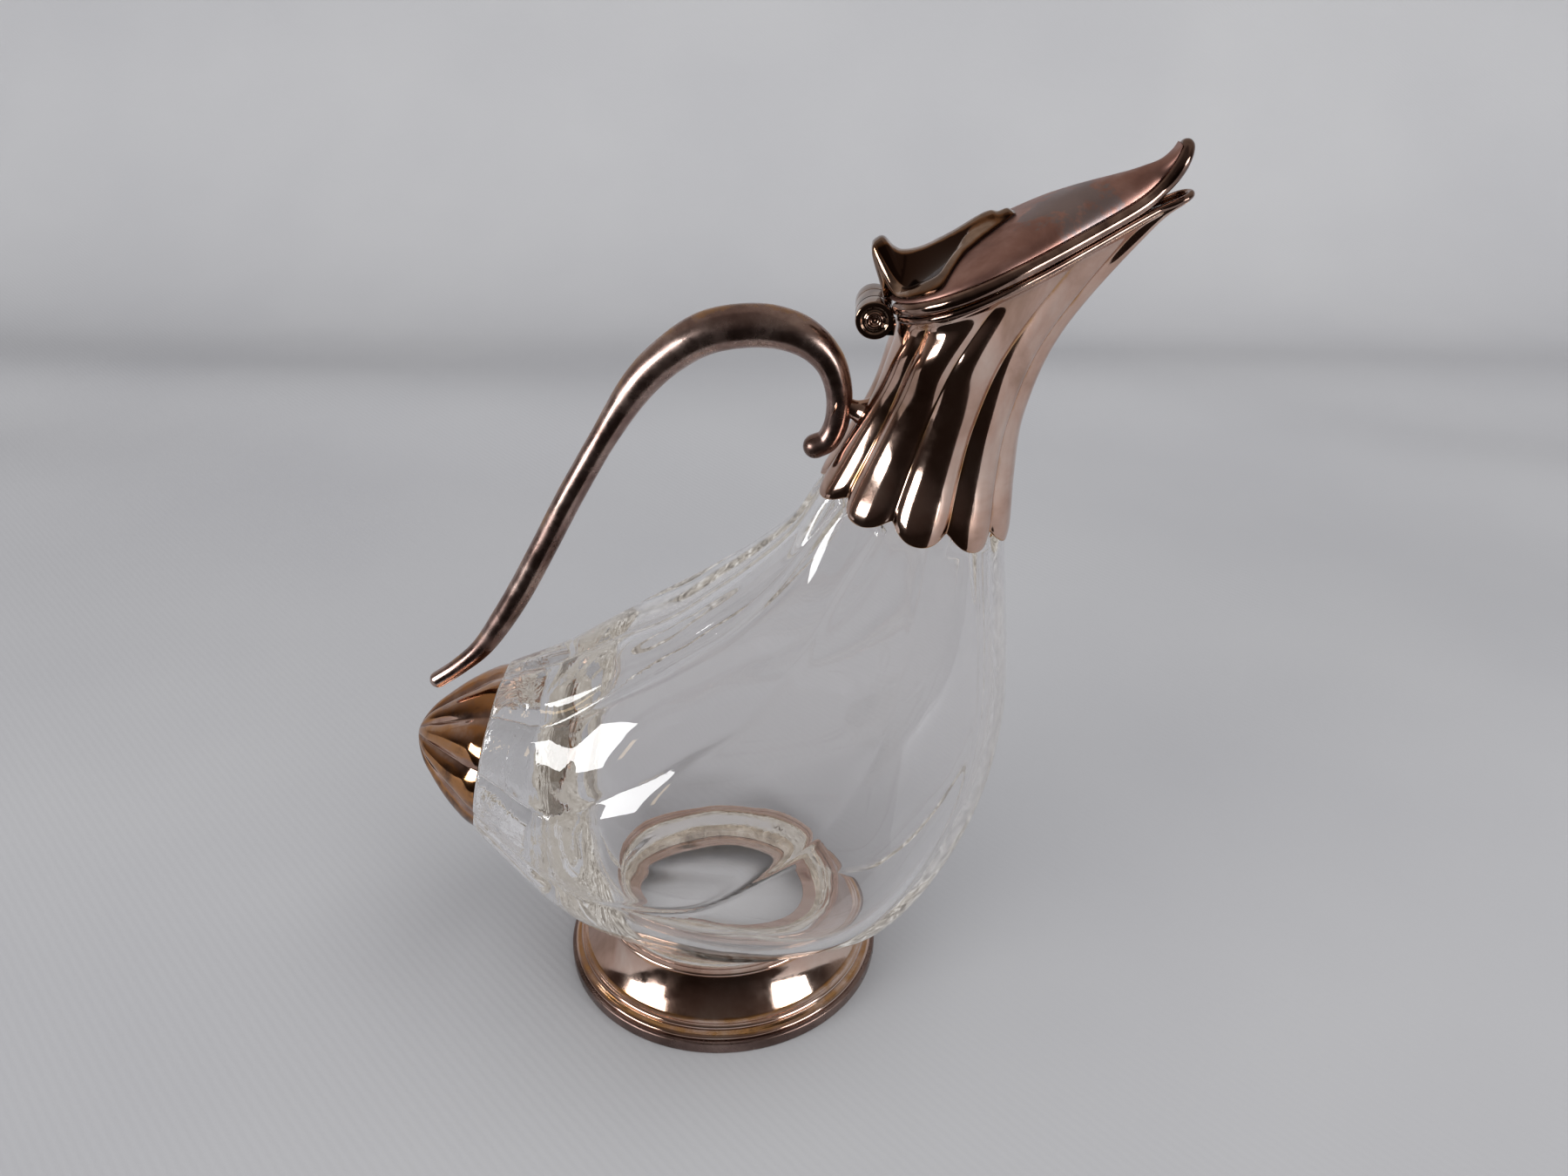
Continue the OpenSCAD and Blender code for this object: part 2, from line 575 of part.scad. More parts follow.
// Cup inside the lip with a ledge for the glass, bedded in cement
gallery_r = lip_r - sheet - seat;
module foot_gallery() {
    color(silver) rotate_extrude($fn = 96) polygon([[gallery_r - sheet, foot_h],
        [gallery_r - sheet, ledge_z + sheet], [ledge_r, ledge_z + sheet], [ledge_r, ledge_z],
        [gallery_r, ledge_z], [gallery_r, foot_h]]);
}

// How far the cement stays back from the ledge's edge
cement_back = 4;
module foot_cement() {
    low = ledge_z + sheet + seat;
    high = foot_h - stub_drop - seat;
    out = gallery_r - sheet - seat;
    color(cement_tint) rotate_extrude($fn = 96) polygon([[ledge_r + cement_back, low],
        [out, low], [out, foot_h - 2], [stub_r + seat, foot_h - 2], [stub_r + seat, high],
        [ledge_r + cement_back, high]]);
}

glass_body();
spout_collar();
spout_rim_wire();
neck_cement();
lid_shell();
lid_rim_wire();
thumbpiece();
lid_knuckle();
hinge_knuckle_right();
hinge_knuckle_left();
hinge_pin();
handle();
handle_lug();
tail_cap();
tail_cement();
foot_dome();
foot_gallery();
foot_base_ring();
foot_cement();
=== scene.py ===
import math
import bpy
import numpy as np
from mathutils import Euler, Matrix


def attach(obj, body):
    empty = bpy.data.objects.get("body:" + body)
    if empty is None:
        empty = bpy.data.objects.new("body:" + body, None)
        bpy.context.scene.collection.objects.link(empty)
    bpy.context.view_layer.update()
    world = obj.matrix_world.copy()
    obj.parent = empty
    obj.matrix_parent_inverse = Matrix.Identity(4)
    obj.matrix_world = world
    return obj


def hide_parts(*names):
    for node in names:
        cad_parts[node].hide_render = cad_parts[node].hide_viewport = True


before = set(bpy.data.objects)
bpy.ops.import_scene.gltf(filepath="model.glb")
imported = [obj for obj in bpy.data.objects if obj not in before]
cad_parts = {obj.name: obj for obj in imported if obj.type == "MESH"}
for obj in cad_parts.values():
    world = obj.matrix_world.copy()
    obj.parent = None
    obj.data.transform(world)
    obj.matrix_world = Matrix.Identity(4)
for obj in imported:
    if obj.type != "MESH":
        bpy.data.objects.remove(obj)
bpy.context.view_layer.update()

# Sizes that several pieces share, in mm. Heights start at the foot's lip, and aboveFoot() lifts
# the points by the foot's height; the foot's own pieces start at the table.
jug = {
    "lobes": 10,
    "sheet": 1.1,
    "seat": 0.1,            # gap between pieces that sit on each other
    "footHeight": 22.0,
    "lipRadius": 38.6,      # rolled lip on top of the foot
    "stubDrop": 10.0,       # how far the glass reaches down into the foot
    "tailTop": (-63.8, 79.6),
    "tailLow": (-74.2, 27.2),
    "hinge": (42.9, 191.6),
    "knuckleRadius": 4.8,
    "barrelLength": 17.4,
    "pinRadius": 2.3,
    "mouthStep": 0.6,       # forwards from the knuckles and down from the pin
    "mouthTilt": math.radians(23),
    "mouthLength": 75.5,
    "mouthWidth": 18.0,     # half width half way along
    "mouthTaper": 0.9,
    "beakTip": 3.0,
}
mouthBack = (jug["hinge"][0] + jug["knuckleRadius"] + jug["mouthStep"],
             jug["hinge"][1] - jug["mouthStep"])
mouthFront = (mouthBack[0] + jug["mouthLength"] * math.cos(jug["mouthTilt"]),
              mouthBack[1] + jug["mouthLength"] * math.sin(jug["mouthTilt"]))


def hexToLinear(hexColour):
    # each sRGB channel c: c / 12.92 near black, else ((c + 0.055) / 1.055) ^ 2.4
    c = np.array([int(hexColour[i:i + 2], 16) / 255 for i in (1, 3, 5)])
    linear = np.where(c < 0.04045, c / 12.92, ((c + 0.055) / 1.055) ** 2.4)
    return (*linear.tolist(), 1.0)


def feed(tree, node, inputs):
    # outputs of other nodes are linked to the node's inputs, values and hex colours are set
    for key, value in inputs.items():
        if isinstance(value, bpy.types.NodeSocket):
            tree.links.new(value, node.inputs[key])
        else:
            value = hexToLinear(value) if isinstance(value, str) else value
            node.inputs[key].default_value = value


def addNode(tree, kind, out=None, inputs=None, stops=(), **settings):
    # one shader node: settings are its own properties, stops are the (position, hex colour)
    # pairs of a ramp; gives back the output named out, or the node
    node = tree.nodes.new("ShaderNode" + kind)
    for key, value in settings.items():
        setattr(node, key, value)
    feed(tree, node, inputs or {})
    for k, (position, colour) in enumerate(stops):
        elements = node.color_ramp.elements
        element = elements[k] if k < 2 else elements.new(position)
        element.position = position
        element.color = hexToLinear(colour)
    return node if out is None else node.outputs[out]


def newMaterial(name):
    # a material with its tree, its shader and the point on the piece, in metres
    material = bpy.data.materials.new(name)
    material.use_nodes = True
    tree = material.node_tree
    return material, tree, tree.nodes["Principled BSDF"], addNode(tree, "TexCoord", "Object")


def lightPath(tree):
    # the kinds of ray, and 1 for a mirrored one: a refracted ray counts as glossy too
    path = addNode(tree, "LightPath").outputs
    return path, addNode(tree, "Math", "Value", {
        0: path["Is Glossy Ray"], 1: path["Is Reflection Ray"]}, operation="MULTIPLY")


def dressNode(nodeName, material):
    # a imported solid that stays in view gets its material
    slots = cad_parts[nodeName].data.materials
    slots.clear()
    slots.append(material)


def cubic(before, start, end, after, f):
    # Catmull-Rom curve from start to end, f from 0 to 1
    return 0.5 * (2 * start + (end - before) * f
                  + (2 * before - 5 * start + 4 * end - after) * f ** 2
                  + (3 * start - before - 3 * end + after) * f ** 3)


def alongRows(rows, t):
    # smooth curve through the rows, t from 0 at the first to 1 at the last
    rows = np.asarray(rows, float)
    last = len(rows) - 1
    pad = np.vstack([2 * rows[0] - rows[1], rows, 2 * rows[-1] - rows[-2]])
    s = np.asarray(t, float) * last
    k = np.clip(np.floor(s), 0, last - 1).astype(int)
    return cubic(pad[k], pad[k + 1], pad[k + 2], pad[k + 3], (s - k)[..., None])


def atX(rows, x):
    # smooth value at x from rows of (x, value), each stretch its own cubic
    rows = np.asarray(rows, float)
    x = np.asarray(x, float)
    k = np.clip(np.searchsorted(rows[:, 0], x, side="right") - 1, 0, len(rows) - 2)
    f = np.clip((x - rows[k, 0]) / (rows[k + 1, 0] - rows[k, 0]), 0, 1)
    v = np.concatenate([rows[:1, 1], rows[:, 1], rows[-1:, 1]])
    return cubic(v[k], v[k + 1], v[k + 2], v[k + 3], f)


def smoothStep(x, low, high):
    f = np.clip((x - low) / (high - low), 0, 1)
    return f * f * (3 - 2 * f)


def turns(columns):
    # the angle of each column on the way round
    return 2 * np.pi * np.arange(columns) / columns


def swell(angle, soft=0.06, crown=1.0):
    # 0 in a crease, 1 on a lobe: |sin| of half the lobe angle, its corner rounded by soft, then
    # 1 - (1 - s) ^ crown, which broadens the lobes
    s = np.sin(jug["lobes"] * angle / 2)
    s = (np.sqrt(s * s + soft * soft) - soft) / (math.sqrt(1 + soft * soft) - soft)
    return 1 - (1 - s) ** crown


def beakHalf(angle, half, width, taper, tip):
    # half width: width sin(a) (1 + taper cos(a)), blunted at the front by a circle of radius tip
    u = half * (1 + np.cos(angle))
    tip = np.maximum(tip, 1e-6) + 0 * u
    circle = np.sqrt(np.maximum(0, u * (2 * tip - u)))
    fade = tip * np.cos(np.radians(30 * np.clip((u - tip) / tip, 0, 3))) ** 2
    blunt = np.where(u < tip, circle, np.where(u < 4 * tip, fade, 0))
    side = width * np.sin(angle) * (1 + taper * np.cos(angle))
    return np.sign(np.sin(angle)) * np.hypot(side, blunt)


def flatSection(rows, angle, soft, crown, lean):
    # section in its own plane: x = -half cos(a), y = -halfWidth(a), both drawn in at the
    # creases; lean turns the lobes about a point raised by lean times half. Each row holds the
    # section's back (x, z), front (x, z), half width, crease, taper and tip
    half = np.hypot(rows[..., 2] - rows[..., 0], rows[..., 3] - rows[..., 1]) / 2
    lobeAngle = np.arctan2(rows[..., 4] * np.sin(angle), half * (np.cos(angle) - lean))
    lobeAngle = np.where(np.asarray(lean) > 0.001, lobeAngle, angle)
    s = 1 - rows[..., 5] / rows[..., 4] * (1 - swell(lobeAngle, soft, crown))
    y = beakHalf(angle, half, rows[..., 4], rows[..., 6], rows[..., 7])
    return np.stack([-half * np.cos(angle) * s, -y * s], -1)


def section(rows, angle, inset=0.0, shrink=1.0, soft=0.06, crown=1.0, lean=0.0):
    # the same section in space, moved inwards by inset, shrunk to its middle
    step = math.radians(1.5)
    flat = flatSection(rows, angle, soft, crown, lean)
    t = (flatSection(rows, angle + step, soft, crown, lean)
         - flatSection(rows, angle - step, soft, crown, lean))
    inward = np.stack([-t[..., 1], t[..., 0]], -1)
    inward /= np.linalg.norm(inward, axis=-1, keepdims=True) + 1e-12
    p = (flat + inward * np.asarray(inset)[..., None]) * np.asarray(shrink)[..., None]
    middle = (rows[..., 0:2] + rows[..., 2:4]) / 2
    along = rows[..., 2:4] - rows[..., 0:2]
    along = along / np.linalg.norm(along, axis=-1, keepdims=True)
    q = middle + along * p[..., :1]
    return np.stack([q[..., 0], p[..., 1], q[..., 1]], -1)


def aboveFoot(points):
    return points + np.array([0, 0, jug["footHeight"]])


def onMouth(points):
    # frame of the mouth: x from the hinge end to the beak, turned up by the mouth's tilt
    c, s = math.cos(jug["mouthTilt"]), math.sin(jug["mouthTilt"])
    x, y, z = points[..., 0], points[..., 1], points[..., 2]
    return aboveFoot(np.stack([mouthBack[0] + x * c - z * s, y, mouthBack[1] + x * s + z * c], -1))


def newObject(name, vertices, faces, material):
    mesh = bpy.data.meshes.new(name)
    mesh.from_pydata(vertices.tolist(), [], faces.tolist(), shade_flat=False)
    mesh.validate()
    mesh.materials.append(material)
    made = bpy.data.objects.new(name, mesh)
    bpy.context.scene.collection.objects.link(made)
    return made


def buildPiece(name, vertices, faces, mark, material, node, body="jug", slot="silver_plate"):
    # vertices in mm become a piece in metres whose quads face outwards; mark is how much
    # tarnish has gathered (with painted shade on the tail cap), or how rippled the glass is, at
    # each vertex
    a, b, c, d = (vertices[faces[:, i]] for i in range(4))
    if np.einsum("ij,ij->i", a, np.cross(b, c) + np.cross(c, d)).sum() < 0:
        faces = faces[:, ::-1]
    piece = newObject(name, vertices * 0.001, faces, material)
    layer = piece.data.attributes.new("mark", "FLOAT", "POINT")
    layer.data.foreach_set("value", mark.astype(np.float32))
    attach(piece, body)
    if node:
        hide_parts(node)
    return piece


def gridFaces(rows, columns, closeRows, closeColumns):
    # quads between neighbours on a grid, wrapped round where an edge closes
    i = np.arange(rows if closeRows else rows - 1)[:, None]
    j = np.arange(columns if closeColumns else columns - 1)[None, :]
    nextRow, nextColumn = (i + 1) % rows * columns, (j + 1) % columns
    corners = (i * columns + j, i * columns + nextColumn, nextRow + nextColumn, nextRow + j)
    return np.stack(corners, -1).reshape(-1, 4)


def surface(name, grid, look, closeRows=False, mark=0.0):
    # grid[row, column] closed along its columns, and its ends drawn to their middle points
    # where the rows don't close; look is the material and the replaced node, and then the
    # body and the slot where buildPiece's own don't fit; the slot is not used
    rows, columns = grid.shape[:2]
    vertices = grid.reshape(-1, 3)
    faces = gridFaces(rows, columns, closeRows, True)
    mark = np.broadcast_to(mark, (rows, columns)).ravel()
    if not closeRows:
        vertices = np.vstack([vertices, grid[0].mean(0), grid[-1].mean(0)])
        mark = np.append(mark, [0, 0])
        # the caps are quads too, each over two columns
        j = np.arange(0, columns, 2)
        rim = [j, (j + 1) % columns, (j + 2) % columns]
        middle, base = 0 * j + rows * columns, (rows - 1) * columns
        faces = np.vstack([faces, np.stack([middle] + rim[::-1], -1),
                           np.stack([middle + 1] + [base + k for k in rim], -1)])
    return buildPiece(name, vertices, faces, mark, *look)


def tube(name, path, radii, look, sides=32, markAt=None):
    # circle carried along the path, with half round ends; markAt(angle) is the tarnish on
    # each side
    t = np.gradient(path, axis=0)
    t /= np.linalg.norm(t, axis=1, keepdims=True)
    up = np.eye(3)[1 if np.ptp(path[:, 1]) < 1 else 2]
    e = up - (t @ up)[:, None] * t
    e /= np.linalg.norm(e, axis=1, keepdims=True)
    f = np.cross(t, e)
    rings = 9
    a = np.radians(np.linspace(86, 6, rings))
    start = path[0] - t[0] * radii[0] * np.sin(a)[:, None]
    end = path[-1] + t[-1] * radii[-1] * np.sin(a[::-1])[:, None]
    centre = np.vstack([start, path, end])
    r = np.concatenate([radii[0] * np.cos(a), radii, radii[-1] * np.cos(a[::-1])])
    e, f = (np.pad(g, ((rings, rings), (0, 0)), mode="edge") for g in (e, f))
    v = turns(sides)[None, :, None]
    grid = centre[:, None] + r[:, None, None] * (np.cos(v) * e[:, None] + np.sin(v) * f[:, None])
    return surface(name, grid, look, mark=markAt(turns(sides)) if markAt else 0.0)


def roundCorners(outline, radius, steps=4):
    # each corner of a closed (r, z) outline becomes a curve from radius before it to radius
    # after it (0.45 of the side at most)
    p = np.asarray(outline, float)
    made = []
    for i in range(len(p)):
        before, here, after = p[i - 1], p[i], p[(i + 1) % len(p)]
        back, on = before - here, after - here
        cut = min(radius, 0.45 * np.linalg.norm(back), 0.45 * np.linalg.norm(on))
        a = here + back / np.linalg.norm(back) * cut
        b = here + on / np.linalg.norm(on) * cut
        for f in np.linspace(0, 1, steps):
            made.append((1 - f) ** 2 * a + 2 * f * (1 - f) * here + f ** 2 * b)
    return np.array(made)


def arc(middle, radius, degrees):
    # points on a circle in an (r, z) outline
    return [[middle[0] + radius * math.cos(a), middle[1] + radius * math.sin(a)]
            for a in np.radians(degrees)]


def lathe(name, outline, look, columns=192, place=None, markAt=None):
    # closed (radius, z) outline turned about the z axis; place moves the points afterwards,
    # markAt(outline) is the tarnish at each point of the outline
    v = turns(columns)
    r, z = outline[:, :1], outline[:, 1:]
    grid = np.stack([r * np.cos(v), r * np.sin(v), z + 0 * v], -1)
    return surface(name, place(grid) if place else grid, look, closeRows=True,
                   mark=markAt(outline)[:, None] if markAt else 0.0)


# Silver plate on nickel silver, spun and stamped, buffed bright and then left to tarnish: a
# mirror whose colour has gone mauve and brown in clouds, with fine wiping scratches.
plateLook = {
    "bright": "#DEC8BB",
    "mauve": "#CBAA9A",
    "brown": "#A68673",
    "gold": "#BC8F5F",
    "deep": "#5A4336",
    "cloudSize": 26.0,      # mm across a tarnish cloud
    "blotchSize": 8.0,
    "waveSize": 14.0,       # mm across a wave left by the tools
    "scratchGap": 2.1,      # mm between wiping marks, coarser than real so that they show
    "roughLow": 0.05,
    "roughHigh": 0.16,
    "bump": 0.04,
}


def tarnishedPlate(name, **changes):
    look = {**plateLook, **changes}
    material, tree, shader, position = newMaterial(name)
    clouds = addNode(tree, "TexNoise", "Fac", {
        "Vector": position, "Scale": 1000 / look["cloudSize"], "Detail": 5.0,
        "Roughness": 0.6, "Distortion": 0.4})
    colour = addNode(tree, "ValToRGB", "Color", {"Fac": clouds}, [
        (0.30, look["brown"]), (0.66, look["bright"]), (0.47, look["mauve"])])
    # thin tarnish is golden and thick tarnish brown: gold rims the marked creases
    blotches = addNode(tree, "TexNoise", "Fac", {
        "Vector": position, "Scale": 1000 / look["blotchSize"], "Detail": 4.0,
        "Roughness": 0.65})
    mark = addNode(tree, "Attribute", "Fac", attribute_name="mark")
    patchy = addNode(tree, "Math", "Value", {0: blotches, 1: 1.0, 2: mark},
                     operation="MULTIPLY_ADD")
    for low, high, tarnish in ((0.72, 1.0, "gold"), (1.05, 1.3, "deep")):
        amount = addNode(tree, "MapRange", "Result", {
            "Value": patchy, "From Min": low, "From Max": high})
        colour = addNode(tree, "Mix", 2, {
            "Factor": amount, 6: colour, 7: look[tarnish]}, data_type="RGBA")
    if "wornAt" in look:
        # a patch rubbed back to grey, with a ragged edge
        away = addNode(tree, "VectorMath", "Value", {0: position, 1: look["wornAt"]},
                       operation="DISTANCE")
        ragged = addNode(tree, "Math", "Value", {0: blotches, 1: -0.03, 2: away},
                         operation="MULTIPLY_ADD")
        worn = addNode(tree, "MapRange", "Result", {
            "Value": ragged, "From Min": -0.003, "From Max": -0.0055, "To Max": 0.75})
        colour = addNode(tree, "Mix", 2, {
            "Factor": worn, 6: colour, 7: look["wornGrey"]}, data_type="RGBA")
    rough = addNode(tree, "MapRange", "Result", {
        "Value": blotches, "From Min": 0.35, "From Max": 0.7,
        "To Min": look["roughLow"], "To Max": look["roughHigh"]})
    stretched = addNode(tree, "Mapping", "Vector", {
        "Vector": position, "Rotation": (0.3, 0.5, 0.7), "Scale": (12.0, 1.0, 1.0)},
        vector_type="TEXTURE")
    scratches = addNode(tree, "TexNoise", "Fac", {
        "Vector": stretched, "Scale": 1000 / look["scratchGap"], "Detail": 3.0,
        "Roughness": 0.7})
    waves = addNode(tree, "TexNoise", "Fac", {
        "Vector": position, "Scale": 1000 / look["waveSize"], "Detail": 1.0, "Roughness": 0.4})
    height = addNode(tree, "Math", "Value", {0: scratches, 1: 0.14, 2: waves},
                     operation="MULTIPLY_ADD")
    bump = addNode(tree, "Bump", "Normal", {
        "Height": height, "Strength": look["bump"], "Distance": 0.001})
    feed(tree, shader, {"Base Color": colour, "Metallic": 1.0, "Roughness": rough, "Normal": bump})
    return material


plate = tarnishedPlate("tarnishedSilverPlate")
handlePlate = tarnishedPlate(
    "handledSilverPlate", bright="#BCA59C", mauve="#957C75", brown="#6C564E", cloudSize=13.0,
    roughLow=0.18, roughHigh=0.38)
castPlate = tarnishedPlate(
    "castSilverPlate", bright="#B49A88", mauve="#8D7667", brown="#65524A", gold="#8A6244",
    deep="#38271F", cloudSize=12.0)
capPlate = tarnishedPlate(
    "goldenTarnishedPlate", bright="#CFB3A4", mauve="#A98878", brown="#7E6156", gold="#B98558",
    deep="#55413A", cloudSize=14.0)
basePlate = tarnishedPlate(
    "wornSilverPlate", bright="#97827A", mauve="#7A6660", brown="#5A4943", roughLow=0.22,
    roughHigh=0.4)
wirePlate = tarnishedPlate(
    "darkenedSilverPlate", bright="#B79C8E", mauve="#8C7368", brown="#63504A", cloudSize=9.0)
lidPlate = tarnishedPlate(
    "dulledSilverPlate", bright="#C09A90", mauve="#A47C71", brown="#83625A", cloudSize=18.0,
    roughLow=0.36, roughHigh=0.5, wornAt=(0.089, -0.006, 0.238), wornGrey="#8F898B")


# Mould-blown clear lead glass, fire polished: smooth, with slow waves where it was blown into
# the lobed mould and tight ripples where the thick tail was pulled off.
def clearGlass(name):
    material, tree, shader, position = newMaterial(name)
    waves = addNode(tree, "TexNoise", "Fac", {
        "Vector": position, "Scale": 1000 / 28.0, "Detail": 2.0, "Distortion": 0.3})
    ripples = addNode(tree, "TexNoise", "Fac", {
        "Vector": position, "Scale": 1000 / 9.0, "Detail": 2.0, "Distortion": 1.6})
    mark = addNode(tree, "Attribute", "Fac", attribute_name="mark")
    tight = addNode(tree, "Math", "Value", {0: ripples, 1: mark},
                    operation="MULTIPLY")
    height = addNode(tree, "Math", "Value", {0: tight, 1: 4.0, 2: waves},
                     operation="MULTIPLY_ADD")
    bump = addNode(tree, "Bump", "Normal", {
        "Height": height, "Strength": 0.14, "Distance": 0.001})
    feed(tree, shader, {"Base Color": "#FCFBFB", "Transmission Weight": 1.0, "Roughness": 0.0,
                        "IOR": 1.52, "Normal": bump})
    # light on its way to the cloth and the cement passes the glass almost unchanged
    path = addNode(tree, "LightPath").outputs
    passing = addNode(tree, "Math", "Value", {
        0: path["Is Shadow Ray"], 1: path["Is Diffuse Ray"]}, operation="MAXIMUM")
    clear = addNode(tree, "BsdfTransparent", "BSDF", {"Color": "#E3E3E3"})
    mixed = addNode(tree, "MixShader", "Shader", {
        0: passing, 1: shader.outputs["BSDF"], 2: clear})
    # painted light: after many reflections the glass glows with a painted pale and beige emission,
    # in place of the light of what is round it
    paintedGlowMask = addNode(tree, "Math", "Value", {0: path["Glossy Depth"], 1: 2.5},
                     operation="GREATER_THAN")
    streaks = addNode(tree, "TexNoise", "Fac", {
        "Vector": position, "Scale": 1000 / 6.0, "Detail": 3.0, "Distortion": 2.5})
    paintedGlowColours = addNode(tree, "ValToRGB", "Color", {"Fac": streaks}, [
        (0.35, "#6E665E"), (0.64, "#D9D6D1"), (0.45, "#989188"), (0.55, "#B2ABA2")])
    paintedGlowShader = addNode(tree, "Emission", "Emission", {"Color": paintedGlowColours})
    ended = addNode(tree, "MixShader", "Shader", {0: paintedGlowMask, 1: mixed, 2: paintedGlowShader})
    feed(tree, tree.nodes["Material Output"], {"Surface": ended})
    material.cycles.emission_sampling = "NONE"
    return material


# Plaster cement, mixed by hand and pushed in: matt beige with lumps and wrinkles.
def plaster(name):
    material, tree, shader, position = newMaterial(name)
    lumps = addNode(tree, "TexNoise", "Fac", {
        "Vector": position, "Scale": 1000 / 7.0, "Detail": 5.0, "Roughness": 0.6,
        "Distortion": 1.2})
    colour = addNode(tree, "ValToRGB", "Color", {"Fac": lumps}, [
        (0.3, "#8E8172"), (0.7, "#DCD3C6"), (0.5, "#B9AC9B")])
    bump = addNode(tree, "Bump", "Normal", {
        "Height": lumps, "Strength": 0.8, "Distance": 0.003})
    feed(tree, shader, {"Base Color": colour, "Roughness": 0.8, "Normal": bump})
    return material


cement = plaster("plasterCement")
for nodeName in ("neck_cement", "tail_cement", "foot_cement"):
    dressNode(nodeName, cement)
print("materials made")

# Sections along the collar and along the glass, as flatSection() takes them.
waist = (171, 168)  # height of the collar's waist at the back and in front
collarRows = np.array([
    [28.2, 145, 82.2, 132.2, 27, 2.4, 0, 0],
    [36.5, 159, 81.8, 151, 21.8, 2.2, 0, 0],
    [42.6, waist[0], 83.2, waist[1], 20.5, 1.8, 0.05, 0],
    [46, waist[0] + 0.51 * (jug["hinge"][1] - waist[0]),
     91, waist[1] + 0.39 * (mouthFront[1] - waist[1]), 20.8, 1.5, 0.42, 1],
    [mouthBack[0] - 0.4, mouthBack[1] - 3, mouthFront[0] - 8, mouthFront[1] - 7.2, 17.2, 0.8,
     0.85, 2.4],
    [*mouthBack, *mouthFront, jug["mouthWidth"], 0.2, jug["mouthTaper"], jug["beakTip"]]])
glassRows = [
    [*jug["tailTop"], *jug["tailLow"], 26.8, 1.0, 0, 0],
    [-46, 86.4, -47, 2.5, 41, 2.1, 0, 0],
    [-26.5, 96.5, -22, -1.5, 57, 2.5, 0, 0],
    [-11.5, 104, 15, -2, 67, 2.6, 0, 0],
    [1, 113.4, 51, 4, 64.5, 2.5, 0, 0],
    [12, 122, 74.5, 35, 57, 1.5, 0, 0],
    [22, 131.5, 84.5, 76, 45, 0.7, 0, 0]]
glassSizes = {
    "wall": 3.2,
    "tailSolid": 21.0,
    "length": 200.0,        # along the body, from the tail to the collar
    "stubRadius": jug["lipRadius"] - 2 * jug["sheet"] - jug["seat"] - 0.9,
    "cement": 1.4,          # between the neck and the collar
    "neckTop": 0.4,         # where the neck ends, as a share of the collar
    "soft": 0.04,
    "crown": 1.9,
    "lean": 0.42,           # how far the lobes' middle line runs above the sections' middles
    "hollowSoft": 0.12,     # the blown inside has rounder and shallower creases
    "hollowCrease": 0.7,
    "throatCrease": 0.85,
    "wrinkle": 0.6,
    "rows": 150,
    "columns": 320,
}


def neckInsetAt(t):
    # how far the neck lies inside the collar: close at the edge, then with room for cement
    return jug["sheet"] + np.where(t > 0.1, glassSizes["cement"], 0.4 + np.maximum(0, t) * 8)


def collarRowAt(t, grow):
    # one collar row, its two ends moved out along their line by grow
    r = alongRows(collarRows, np.array(t))
    d = r[2:4] - r[0:2]
    d = d / np.linalg.norm(d) * grow
    return [*(r[0:2] - d), *(r[2:4] + d), r[4] + grow, r[5], 0, 0]


bodyRows = np.array(glassRows + [collarRowAt(t, -float(neckInsetAt(t))) for t in (-0.01, 0.18)])
bodyEnd = len(glassRows) / (len(bodyRows) - 1)


def pullToStub(grid, base, radius, lip):
    # lower side of the belly meets a round stub: z = smooth minimum of the belly and the
    # stub, which rises in an upright wall at radius and flares outside it; points within
    # band of the wall are drawn onto it so that it is cut cleanly
    band, half, blend, belly = 3.0, 0.5, 2.2, 60
    r = np.hypot(grid[..., 0], grid[..., 1]) + 1e-9
    x = np.clip(r - radius, -band, band)
    onWall = radius + half * x * np.abs(x) / band ** 2
    onWall = np.where(r < radius - band, r * (radius - half) / (radius - band), onWall)
    onWall = np.where(r > radius + band,
                      r - (band - half) * np.exp(-(r - radius - band) / 8), onWall)
    flare = np.maximum(0, onWall - radius - half)
    stub = base + smoothStep(x, -band, band) * (lip - base) + 0.55 * flare + 0.2 * flare ** 2.1
    z = grid[..., 2]
    h = np.clip(0.5 + 0.5 * (stub - z) / blend, 0, 1)
    low = stub * (1 - h) + z * h - blend * h * (1 - h)
    below = z < belly
    scale = np.where(below, h + (1 - h) * onWall / r, 1)
    return np.stack([grid[..., 0] * scale, grid[..., 1] * scale,
                     np.where(below, np.minimum(z, low), z)], -1)


